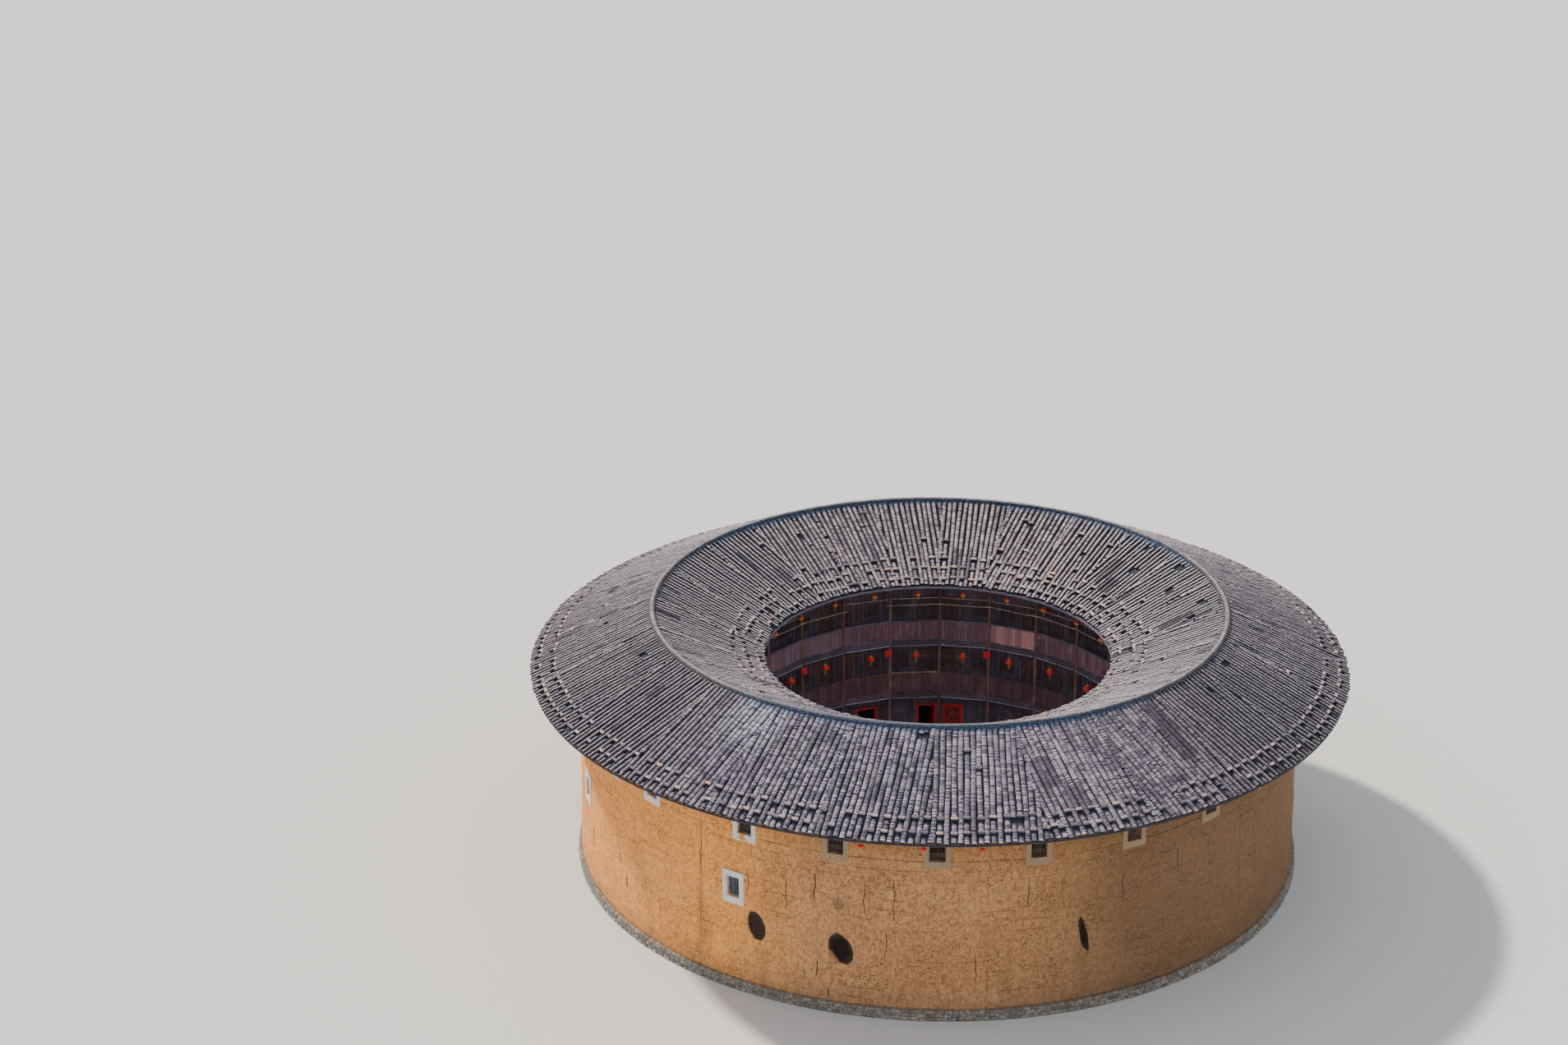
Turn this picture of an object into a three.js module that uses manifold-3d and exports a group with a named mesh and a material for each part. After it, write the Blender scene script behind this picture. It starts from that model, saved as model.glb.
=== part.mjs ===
// A three-storey round earth house: a ring of rammed-earth wall under a double-pitched tiled
// roof, with timber rooms and open galleries that look onto the courtyard in its middle.
// Millimetres, +Z up. The origin is on the ground at the centre of the courtyard.
// An azimuth is in degrees, 0 at the front (-Y) and growing towards +X.

import * as THREE from 'three';
import { mergeVertices } from 'three/addons/utils/BufferGeometryUtils.js';
import Module from 'manifold-3d';

const wasm = await Module();
wasm.setup();

// Space between pieces that touch, how far joined timbers run into each other, and how far
// a hole's cutting shape runs past the piece that it cuts.
const GAP = 0.3;
const LAP = 20;
const CUT_SPARE = 600;

// The round shapes have 72 sides, three to a bay. The timber frame has one side to a bay.
const ROUND_SIDES = 72;
const BAYS = 24;
const BAY_DEG = 360 / BAYS;
const FIRST_POST_AZ = -1;

// Roof: two slopes that meet at a ridge, and the cap that covers the ridge.
const OUTER_EAVE_R = 18000;
const OUTER_EAVE_Z = 9000;
const INNER_EAVE_R = 7630;
const INNER_EAVE_Z = 9080;
const RIDGE_R = 12580;
const RIDGE_Z = 11450;
const ROOF_DEPTH = 240;
const ROOF_SECTORS = 4;
const ROOF_SPLIT_AZ = 45;
const CAP_HALF_FOOT = 250;
const CAP_HALF_TOP = 160;
const CAP_RISE = 170;

// Earth wall, with a slight batter outside, on a footing of field stone. The head of the wall
// is rammed in lifts of its own from the sills of the top storey's windows.
const WALL_IN_R = 14650;
const WALL_BASE_R = 15950;
const WALL_TOP_R = 15700;
const FOOTING_R = 16060;
const FOOTING_TOP = 450;
const WALL_SECTORS = 8;
const WALL_SPLIT_AZ = 7.5;

// Floors.
const PLATFORM_R = 8450;
const PLATFORM_TOP = 150;
const SECOND_FLOOR = 3020;
const THIRD_FLOOR = 5740;
const FLOOR_DEPTH = 120;

// Gallery posts, edge beams and board railings.
const POST_R = 9050;
const POST_HALF = 85;
const EDGE_BEAM_DEPTH = 270;
const EDGE_BEAM_HALF = 96;
const RAILING_HALF = 40;
const RAILING_TOP = 1020;
const GALLERY_SECTORS = 6;
const SECTOR_PAST_POST = 5;

// Board walls between the galleries and the rooms.
const FRONT_IN = 9766;
const FRONT_DEPTH = 70;
const FRONT_SECTORS = 4;

// Tie beams through the head of the wall, and the purlins that they carry.
const TIE_BOTTOM = 8700;
const TIE_DEPTH = 200;
const TIE_HALF = 85;
const TIE_IN_R = 8080;
const TIE_OUT_R = 17330;
const INNER_PURLIN_R = 8200;
const OUTER_PURLIN_R = 17200;
const PURLIN_HALF = 90;
const RIDGE_PURLIN_DEPTH = 260;
const KING_POST_HALF = 90;
const KING_POST_INSET = 5;

// Windows, one to each room of the top storey and a few below. Age has moved some of them.
const UPPER_WINDOW = { width: 660, sill: 7100, height: 750 };
const LOWER_WINDOW = { width: 600, sill: 4150, height: 900 };
const SHIFTED_UPPER_AZ = { '-45': -48.3, '-30': -29.5, '-15': -14.9, 15: 14.8 };
const LOWER_WINDOW_AZ = [-31.4, -72.5, -113.5, -154.5, 164.5, 123.5, 82.5];

// Holes that age has worn in the wall, not right through it. Each is widest outside.
const WORN_SIDES = 7;
const WORN_MOUTH = 0.75;
const WORN_TIP = 0.25;
const HOLLOW_AZ = -14.2;
const HOLLOW_Z = [2050, 3450];
const HOLLOW_WIDTH = 1000;
const HOLLOW_DEPTH = 450;
const CLEFT_AZ = 22;
const CLEFT_Z = [2500, 4200];
const CLEFT_WIDTH = 420;
const CLEFT_DEPTH = 260;

// Gateway.
const GATE_BAY = 17;
const GATE_WIDTH = 1700;
const GATE_TOP = 2750;
const GATE_HALL_WIDTH = 2000;
const GATE_HALL_TOP = 2500;

// Doorways. A bay's doorway stands beside every second post, so that two bays share it.
const DOOR_OFFSET = 636;
const PLAIN_DOOR_WIDTH = 800;
const PLAIN_DOOR_HEIGHT = 1820;
const FRAME_WIDTH = 130;
const FRAME_DEPTH = 130;
const FRAME_TOP = 2050;
const SILL_HEIGHT = 90;
const LEFT_DOOR = { bay: 13, x: -290, width: 1130 };
const MIDDLE_DOOR = { bay: 12, x: -679, width: 1010 };
const RIGHT_DOOR = { bay: 11, x: 601, width: 990 };

// Door leaves, hung on wooden pins in blocks behind the frame.
const LEAF_HALF = 20;
const LEAF_CLEAR = 5;
const LEAF_LAP = 30;
const PIN_R = 16;
const PIN_HOLE_R = 18;
const PIN_LENGTH = 45;
const PIN_SIDES = 12;
const SOCKET_HALF = 45;
const SOCKET_DEPTH = 70;
const MIDDLE_LEAF_OPEN_DEG = 80;

const FAR = 30000;

const house = new THREE.Group();

const material = (color, roughness) => new THREE.MeshStandardMaterial({ color, roughness, metalness: 0 });
const rammedEarth = material(0xc48a5a, 0.95);
const fieldStone = material(0x8d8577, 0.9);
const packedEarth = material(0x9a8468, 0.95);
const roofTile = material(0x6d6a70, 0.85);
const ridgeTile = material(0x4c5160, 0.85);
const darkTimber = material(0x3d2a24, 0.8);
const galleryTimber = material(0x6b4236, 0.8);
const redTimber = material(0xa32a22, 0.6);

const radians = THREE.MathUtils.degToRad;

// A closed three.js shape as a solid that can be joined and cut.
function solid(geometry) {
  geometry.deleteAttribute('normal');
  geometry.deleteAttribute('uv');
  const merged = mergeVertices(geometry);
  const mesh = new wasm.Mesh({
    numProp: 3,
    vertProperties: merged.attributes.position.array,
    triVerts: new Uint32Array(merged.index.array),
  });
  return new wasm.Manifold(mesh);
}

// Adds a solid to the house as a named piece.
function addPiece(name, body, finish) {
  const mesh = body.getMesh();
  const geometry = new THREE.BufferGeometry();
  geometry.setAttribute('position', new THREE.BufferAttribute(mesh.vertProperties, 3));
  geometry.setIndex(new THREE.BufferAttribute(mesh.triVerts, 1));
  const faceted = geometry.toNonIndexed();
  faceted.computeVertexNormals();
  const piece = new THREE.Mesh(faceted, finish);
  piece.name = name;
  house.add(piece);
}

function join(solids) {
  return solids.reduce((whole, next) => whole.add(next));
}

// A ring turned about the house's axis from [radius, height] corners.
function ring(corners, sides = ROUND_SIDES, firstAz = 0) {
  const profile = [...corners, corners[0]].map(([r, z]) => new THREE.Vector2(r, z));
  const geometry = new THREE.LatheGeometry(profile, sides, radians(firstAz));
  geometry.rotateX(Math.PI / 2);
  return solid(geometry);
}

// A tall slice of the plan between two azimuths, cut back by half a gap on both sides.
function slice(fromAz, toAz) {
  const half = radians(toAz - fromAz) / 2;
  const middle = radians(fromAz + toAz) / 2;
  const apex = GAP / 2 / Math.sin(half);
  const tip = [apex * Math.sin(middle), -apex * Math.cos(middle)];
  const shape = new THREE.Shape();
  shape.moveTo(tip[0], tip[1]);
  for (const az of [radians(fromAz), radians(toAz)]) {
    shape.lineTo(tip[0] + FAR * Math.sin(az), tip[1] - FAR * Math.cos(az));
  }
  const geometry = new THREE.ExtrudeGeometry(shape, { depth: FAR, bevelEnabled: false });
  geometry.translate(0, 0, -FAR / 2);
  return solid(geometry);
}

// All that lies between two heights.
const layer = (bottom, top) => ring([[0, bottom], [FAR, bottom], [FAR, top], [0, top]]);

function addSectors(name, whole, count, firstAz, finish) {
  const span = 360 / count;
  for (let index = 0; index < count; index += 1) {
    const from = firstAz + span * index;
    addPiece(`${name}_${index + 1}`, whole.intersect(slice(from, from + span)), finish);
  }
}

// A block given by its limits across, outward and up, in a plan frame turned to an azimuth.
function block(az, [x0, x1], [r0, r1], [z0, z1]) {
  const geometry = new THREE.BoxGeometry(x1 - x0, r1 - r0, z1 - z0);
  geometry.translate((x0 + x1) / 2, -(r0 + r1) / 2, (z0 + z1) / 2);
  geometry.rotateZ(radians(az));
  return solid(geometry);
}

function uprightCylinder(az, [x, r], radius, [z0, z1]) {
  const geometry = new THREE.CylinderGeometry(radius, radius, z1 - z0, PIN_SIDES);
  geometry.rotateX(Math.PI / 2);
  geometry.translate(x, -r, (z0 + z1) / 2);
  geometry.rotateZ(radians(az));
  return solid(geometry);
}

const postAz = (index) => FIRST_POST_AZ + BAY_DEG * index;
const bayAz = (index) => postAz(index) + BAY_DEG / 2;
// The ratio of a timber side's middle radius to its corner radius, and the line of the
// gallery's beams, which is that radius for a side from post to post.
const HALF_BAY_COS = Math.cos(radians(BAY_DEG / 2));
const BEAM_LINE = POST_R * HALF_BAY_COS;
const everyBay = (make) => Array.from({ length: BAYS }, (_, index) => make(index));

// Heights of the roof's top and underside at a radius.
function roofTop(r) {
  const outerRise = (RIDGE_Z - OUTER_EAVE_Z) / (OUTER_EAVE_R - RIDGE_R);
  const innerRise = (RIDGE_Z - INNER_EAVE_Z) / (RIDGE_R - INNER_EAVE_R);
  if (r > RIDGE_R) return OUTER_EAVE_Z + (OUTER_EAVE_R - r) * outerRise;
  return INNER_EAVE_Z + (r - INNER_EAVE_R) * innerRise;
}
const roofUnder = (r) => roofTop(r) - ROOF_DEPTH;

function tieBeam(index, spare) {
  return block(
    postAz(index),
    [-TIE_HALF - spare, TIE_HALF + spare],
    [TIE_IN_R, TIE_OUT_R],
    [TIE_BOTTOM - spare, TIE_BOTTOM + TIE_DEPTH + spare],
  );
}

function addFooting() {
  const stones = ring([
    [WALL_IN_R, 0],
    [FOOTING_R, 0],
    [FOOTING_R, FOOTING_TOP],
    [WALL_IN_R, FOOTING_TOP],
  ]);
  const gate = gateCut(PLATFORM_TOP);
  addPiece('stone_footing', stones.subtract(gate), fieldStone);
}

// From inside the wall to outside the footing.
const THROUGH_WALL = [WALL_IN_R - CUT_SPARE, FOOTING_R + CUT_SPARE];

function gateCut(bottom) {
  const half = GATE_WIDTH / 2;
  return block(bayAz(GATE_BAY), [-half, half], THROUGH_WALL, [bottom, GATE_TOP]);
}

function windowCut(az, { width, sill, height }) {
  return block(az, [-width / 2, width / 2], THROUGH_WALL, [sill, sill + height]);
}

// The worn hollows open outward and get narrower towards the middle of the wall.
function wornCut(az, width, depth, [z0, z1]) {
  const geometry = new THREE.CylinderGeometry(width * WORN_TIP, width * WORN_MOUTH, depth * 2, WORN_SIDES);
  geometry.scale(1, 1, (z1 - z0) / width);
  geometry.translate(0, -WALL_BASE_R, (z0 + z1) / 2);
  geometry.rotateZ(radians(az));
  return solid(geometry);
}

function addEarthWall() {
  const wall = ring([
    [WALL_IN_R, FOOTING_TOP + GAP],
    [WALL_BASE_R, FOOTING_TOP + GAP],
    [WALL_TOP_R, roofUnder(WALL_TOP_R) - GAP],
    [WALL_IN_R, roofUnder(WALL_IN_R) - GAP],
  ]);
  const upperAz = everyBay((index) => index * BAY_DEG - 180).map((az) => SHIFTED_UPPER_AZ[az] ?? az);
  const cuts = [
    gateCut(0),
    ...upperAz.map((az) => windowCut(az, UPPER_WINDOW)),
    ...LOWER_WINDOW_AZ.map((az) => windowCut(az, LOWER_WINDOW)),
    ...everyBay((index) => tieBeam(index, GAP)),
    wornCut(HOLLOW_AZ, HOLLOW_WIDTH, HOLLOW_DEPTH, HOLLOW_Z),
    wornCut(CLEFT_AZ, CLEFT_WIDTH, CLEFT_DEPTH, CLEFT_Z),
  ];
  const cutWall = wall.subtract(join(cuts));
  const sill = UPPER_WINDOW.sill;
  const body = cutWall.intersect(layer(0, sill - GAP / 2));
  const head = cutWall.intersect(layer(sill + GAP / 2, RIDGE_Z));
  addSectors('earth_wall', body, WALL_SECTORS, WALL_SPLIT_AZ, rammedEarth);
  addSectors('wall_head', head, WALL_SECTORS, WALL_SPLIT_AZ, rammedEarth);
}

// A floor inside the wall: round outside, with an inner edge of one straight side to a bay.
function floorPlate(innerR, [bottom, top]) {
  const outerR = WALL_IN_R - GAP;
  const below = bottom - CUT_SPARE;
  const above = top + CUT_SPARE;
  const disc = ring([[0, bottom], [outerR, bottom], [outerR, top], [0, top]]);
  const middle = [[0, below], [innerR, below], [innerR, above], [0, above]];
  return disc.subtract(ring(middle, BAYS, FIRST_POST_AZ));
}

function addFloors() {
  addPiece('ground_floor', floorPlate(PLATFORM_R, [0, PLATFORM_TOP]), packedEarth);
  const innerR = (BEAM_LINE + EDGE_BEAM_HALF + GAP) / HALF_BAY_COS;
  addPiece('second_floor', floorPlate(innerR, [SECOND_FLOOR - FLOOR_DEPTH, SECOND_FLOOR]), darkTimber);
  addPiece('third_floor', floorPlate(innerR, [THIRD_FLOOR - FLOOR_DEPTH, THIRD_FLOOR]), darkTimber);
}

function post(index) {
  const depth = [POST_R - POST_HALF, POST_R + POST_HALF];
  return block(postAz(index), [-POST_HALF, POST_HALF], depth, [PLATFORM_TOP + GAP, TIE_BOTTOM - GAP]);
}

// A storey's edge beam from post to post, with the board railing that stands on it.
function railing(floor) {
  const corner = (fromLine) => (BEAM_LINE + fromLine) / HALF_BAY_COS;
  const foot = floor - EDGE_BEAM_DEPTH;
  const step = floor + LAP;
  return ring([
    [corner(-EDGE_BEAM_HALF), foot],
    [corner(EDGE_BEAM_HALF), foot],
    [corner(EDGE_BEAM_HALF), step],
    [corner(RAILING_HALF), step],
    [corner(RAILING_HALF), floor + RAILING_TOP],
    [corner(-RAILING_HALF), floor + RAILING_TOP],
    [corner(-RAILING_HALF), step],
    [corner(-EDGE_BEAM_HALF), step],
  ], BAYS, FIRST_POST_AZ);
}

function addGalleries() {
  const posts = everyBay(post);
  const railings = [SECOND_FLOOR, THIRD_FLOOR].map(railing);
  const besidePost = THREE.MathUtils.radToDeg((POST_HALF + SECTOR_PAST_POST) / POST_R);
  const frame = join([...posts, ...railings]);
  addSectors('gallery_frame', frame, GALLERY_SECTORS, FIRST_POST_AZ - besidePost, galleryTimber);
}

function frontRing([z0, z1]) {
  const inner = FRONT_IN / HALF_BAY_COS;
  const outer = (FRONT_IN + FRONT_DEPTH) / HALF_BAY_COS;
  return ring([[inner, z0], [outer, z0], [outer, z1], [inner, z1]], BAYS, FIRST_POST_AZ);
}

function doorCut(bay, x, width, [z0, z1]) {
  const depth = [FRONT_IN - CUT_SPARE, FRONT_IN + FRONT_DEPTH + CUT_SPARE];
  return block(bayAz(bay), [x - width / 2, x + width / 2], depth, [z0, z1]);
}

const doorSide = (bay) => (bay % 2 === 0 ? -DOOR_OFFSET : DOOR_OFFSET);

function plainDoorCut(bay, floor) {
  return doorCut(bay, doorSide(bay), PLAIN_DOOR_WIDTH, [floor - LAP, floor + PLAIN_DOOR_HEIGHT]);
}

function addFront(name, floor, ceiling, cuts) {
  const front = frontRing([floor + GAP, ceiling - GAP]);
  addSectors(name, front.subtract(join(cuts)), FRONT_SECTORS, postAz(1), darkTimber);
}

function addFronts() {
  const framed = [LEFT_DOOR, MIDDLE_DOOR, RIGHT_DOOR];
  const groundCuts = everyBay((bay) => {
    const door = framed.find((candidate) => candidate.bay === bay);
    if (door) return doorCut(bay, door.x, door.width + 2 * GAP, [0, FRAME_TOP + GAP]);
    if (bay === GATE_BAY) return doorCut(bay, 0, GATE_HALL_WIDTH, [0, GATE_HALL_TOP]);
    return plainDoorCut(bay, PLATFORM_TOP);
  });
  addFront('ground_room_front', PLATFORM_TOP, SECOND_FLOOR - FLOOR_DEPTH, groundCuts);
  const secondCuts = everyBay((bay) => plainDoorCut(bay, SECOND_FLOOR));
  addFront('second_room_front', SECOND_FLOOR, THIRD_FLOOR - FLOOR_DEPTH, secondCuts);
  const thirdCuts = everyBay((bay) => plainDoorCut(bay, THIRD_FLOOR));
  addFront('third_room_front', THIRD_FLOOR, TIE_BOTTOM, thirdCuts);
}

// Where a door's frame and leaf stand, outward from the axis.
const FRAME_FACE = FRONT_IN + FRONT_DEPTH / 2 - FRAME_DEPTH / 2;
const FRAME_BACK = FRAME_FACE + FRAME_DEPTH;
const LEAF_LINE = FRAME_BACK + LEAF_CLEAR + LEAF_HALF;

// A leaf's sizes: side is +1 or -1 for the jamb that it hangs on.
function leafPlan(door, side) {
  const halfClear = door.width / 2 - FRAME_WIDTH;
  return {
    pivotX: door.x + side * (halfClear + LEAF_LAP),
    freeX: door.x - side * (halfClear + LEAF_LAP),
    bottom: PLATFORM_TOP + SOCKET_DEPTH + LEAF_CLEAR,
    top: FRAME_TOP - FRAME_WIDTH + LEAF_LAP,
  };
}

function doorFrame(door) {
  const az = bayAz(door.bay);
  const half = door.width / 2;
  const depth = [FRAME_FACE, FRAME_BACK];
  const foot = PLATFORM_TOP + GAP;
  return join([
    block(az, [door.x - half, door.x - half + FRAME_WIDTH], depth, [foot, FRAME_TOP]),
    block(az, [door.x + half - FRAME_WIDTH, door.x + half], depth, [foot, FRAME_TOP]),
    block(az, [door.x - half, door.x + half], depth, [FRAME_TOP - FRAME_WIDTH, FRAME_TOP]),
    block(az, [door.x - half, door.x + half], depth, [foot, PLATFORM_TOP + SILL_HEIGHT]),
  ]);
}

// The blocks behind the frame that a leaf's pins turn in.
function sockets(door, side) {
  const az = bayAz(door.bay);
  const leaf = leafPlan(door, side);
  const across = [leaf.pivotX - SOCKET_HALF, leaf.pivotX + SOCKET_HALF];
  const depth = [FRAME_BACK - LAP, LEAF_LINE + SOCKET_HALF];
  const overTop = leaf.top + LEAF_CLEAR;
  const blocks = join([
    block(az, across, depth, [PLATFORM_TOP + GAP, PLATFORM_TOP + SOCKET_DEPTH]),
    block(az, across, depth, [overTop, overTop + SOCKET_DEPTH]),
  ]);
  const at = [leaf.pivotX, LEAF_LINE];
  const holes = join([
    uprightCylinder(az, at, PIN_HOLE_R, [leaf.bottom - LEAF_CLEAR - PIN_LENGTH, leaf.bottom]),
    uprightCylinder(az, at, PIN_HOLE_R, [leaf.top, overTop + PIN_LENGTH]),
  ]);
  return { blocks, holes };
}

function addHungFrame(name, door, side) {
  const { blocks, holes } = sockets(door, side);
  addPiece(name, doorFrame(door).add(blocks).subtract(holes), redTimber);
}

// A plank leaf with a round hanging edge and a pin above and below, opened by some degrees.
function addLeaf(name, door, side, openDeg) {
  const az = bayAz(door.bay);
  const leaf = leafPlan(door, side);
  const at = [leaf.pivotX, LEAF_LINE];
  const across = [Math.min(leaf.pivotX, leaf.freeX), Math.max(leaf.pivotX, leaf.freeX)];
  const pinFoot = leaf.bottom - LEAF_CLEAR - PIN_LENGTH + GAP;
  const pinHead = leaf.top + LEAF_CLEAR + PIN_LENGTH - GAP;
  const closed = join([
    block(az, across, [LEAF_LINE - LEAF_HALF, LEAF_LINE + LEAF_HALF], [leaf.bottom, leaf.top]),
    uprightCylinder(az, at, LEAF_HALF, [leaf.bottom, leaf.top]),
    uprightCylinder(az, at, PIN_R, [pinFoot, pinHead]),
  ]);
  const up = new THREE.Vector3(0, 0, 1);
  const pivot = new THREE.Vector3(leaf.pivotX, -LEAF_LINE, 0).applyAxisAngle(up, radians(az));
  const opened = closed
    .translate([-pivot.x, -pivot.y, 0])
    .rotate([0, 0, side * openDeg])
    .translate([pivot.x, pivot.y, 0]);
  addPiece(name, opened, redTimber);
}

function addDoors() {
  addPiece('left_door_frame', doorFrame(LEFT_DOOR), redTimber);
  addHungFrame('middle_door_frame', MIDDLE_DOOR, -1);
  addHungFrame('right_door_frame', RIGHT_DOOR, 1);
  addLeaf('middle_door_leaf', MIDDLE_DOOR, -1, MIDDLE_LEAF_OPEN_DEG);
  addLeaf('right_door_leaf', RIGHT_DOOR, 1, 0);
}

// Purlins run straight from tie beam to tie beam, so the roof bears on their corners where
// it falls outward, and near the middle of their sides where it falls inward. There a
// corner of the roof lies 1.5 degrees away, and half a side of the roof is 2.5 degrees.
const CORNER_COS = Math.cos(radians(1.5));
const HALF_SIDE_COS = Math.cos(radians(180 / ROUND_SIDES));
const seatOut = (r) => roofUnder(r * CORNER_COS / HALF_SIDE_COS) - GAP;
const seatIn = (r) => roofUnder(r * HALF_BAY_COS / CORNER_COS) - GAP;

function purlin(r, seat, foot) {
  const inner = r - PURLIN_HALF;
  const outer = r + PURLIN_HALF;
  const corners = [[inner, foot], [outer, foot], [outer, seat(outer)], [inner, seat(inner)]];
  return ring(corners, BAYS, FIRST_POST_AZ);
}

function kingPost(index) {
  const half = KING_POST_HALF;
  const halfDepth = half - KING_POST_INSET;
  const foot = TIE_BOTTOM + TIE_DEPTH - LAP;
  const head = RIDGE_Z - ROOF_DEPTH - RIDGE_PURLIN_DEPTH + LAP;
  return block(postAz(index), [-half, half], [RIDGE_R - halfDepth, RIDGE_R + halfDepth], [foot, head]);
}

function addRoofFrame() {
  const onTie = TIE_BOTTOM + TIE_DEPTH - LAP;
  const frame = join([
    ...everyBay((index) => tieBeam(index, 0)),
    ...everyBay(kingPost),
    purlin(INNER_PURLIN_R, seatIn, onTie),
    purlin(OUTER_PURLIN_R, seatOut, onTie),
    purlin(RIDGE_R, () => seatIn(RIDGE_R - PURLIN_HALF), RIDGE_Z - ROOF_DEPTH - RIDGE_PURLIN_DEPTH),
  ]);
  addSectors('roof_frame', frame, ROOF_SECTORS, WALL_SPLIT_AZ, darkTimber);
}

function addRoof() {
  const inside = RIDGE_R - GAP / 2;
  const outside = RIDGE_R + GAP / 2;
  const outer = ring([
    [outside, roofUnder(outside)],
    [OUTER_EAVE_R, roofUnder(OUTER_EAVE_R)],
    [OUTER_EAVE_R, OUTER_EAVE_Z],
    [outside, roofTop(outside)],
  ]);
  const inner = ring([
    [INNER_EAVE_R, roofUnder(INNER_EAVE_R)],
    [inside, roofUnder(inside)],
    [inside, roofTop(inside)],
    [INNER_EAVE_R, INNER_EAVE_Z],
  ]);
  addSectors('outer_roof', outer, ROOF_SECTORS, ROOF_SPLIT_AZ, roofTile);
  addSectors('inner_roof', inner, ROOF_SECTORS, ROOF_SPLIT_AZ, roofTile);
}

function addRidgeCap() {
  const footIn = RIDGE_R - CAP_HALF_FOOT;
  const footOut = RIDGE_R + CAP_HALF_FOOT;
  const top = RIDGE_Z + CAP_RISE;
  const cap = ring([
    [footIn, roofTop(footIn) + GAP],
    [RIDGE_R, RIDGE_Z + GAP],
    [footOut, roofTop(footOut) + GAP],
    [RIDGE_R + CAP_HALF_TOP, top],
    [RIDGE_R - CAP_HALF_TOP, top],
  ]);
  addPiece('ridge_cap', cap, ridgeTile);
}

addFooting();
addEarthWall();
addFloors();
addGalleries();
addFronts();
addDoors();
addRoofFrame();
addRoof();
addRidgeCap();

export default house;
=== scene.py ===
# A round earth house of three storeys, put together from the ground up: footing, earth wall,
# floors, galleries, room fronts, doors, roof frame, tiles and lanterns. Metres, +Z up, the
# front towards -Y. An azimuth is in degrees, 0 at the front and growing towards +X.

import math

import bmesh
import bpy
import numpy as np
from mathutils import Matrix, Vector, noise


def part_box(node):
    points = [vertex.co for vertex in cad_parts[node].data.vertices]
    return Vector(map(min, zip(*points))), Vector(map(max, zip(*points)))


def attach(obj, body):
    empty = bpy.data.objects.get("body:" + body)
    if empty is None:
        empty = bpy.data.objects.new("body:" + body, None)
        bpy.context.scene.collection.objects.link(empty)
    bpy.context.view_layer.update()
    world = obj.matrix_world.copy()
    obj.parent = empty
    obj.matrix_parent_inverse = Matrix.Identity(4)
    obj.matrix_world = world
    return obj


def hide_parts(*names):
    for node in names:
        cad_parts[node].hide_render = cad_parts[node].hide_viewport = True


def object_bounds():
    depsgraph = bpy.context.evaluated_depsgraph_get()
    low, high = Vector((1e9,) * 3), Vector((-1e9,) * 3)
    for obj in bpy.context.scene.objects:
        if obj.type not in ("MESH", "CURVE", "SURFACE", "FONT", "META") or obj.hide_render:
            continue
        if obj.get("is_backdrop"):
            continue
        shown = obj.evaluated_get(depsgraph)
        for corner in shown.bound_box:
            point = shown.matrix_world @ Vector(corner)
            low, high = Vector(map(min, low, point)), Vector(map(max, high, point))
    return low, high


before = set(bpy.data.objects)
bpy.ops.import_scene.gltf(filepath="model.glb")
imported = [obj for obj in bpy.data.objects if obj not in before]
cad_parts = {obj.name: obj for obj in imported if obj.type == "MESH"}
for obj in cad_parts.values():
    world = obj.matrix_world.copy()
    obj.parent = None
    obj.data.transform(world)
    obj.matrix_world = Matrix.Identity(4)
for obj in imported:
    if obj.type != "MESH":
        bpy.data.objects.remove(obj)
cad_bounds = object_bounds()
bpy.ops.object.select_all(action="DESELECT")


# Stone footing. Field stones as they were gathered, laid in three courses in clay, carry the
# earth wall and keep it out of the wet. The CAD ring is the clay core; the stones stand a
# little proud of it.

UNROLLED = 16.0


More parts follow.
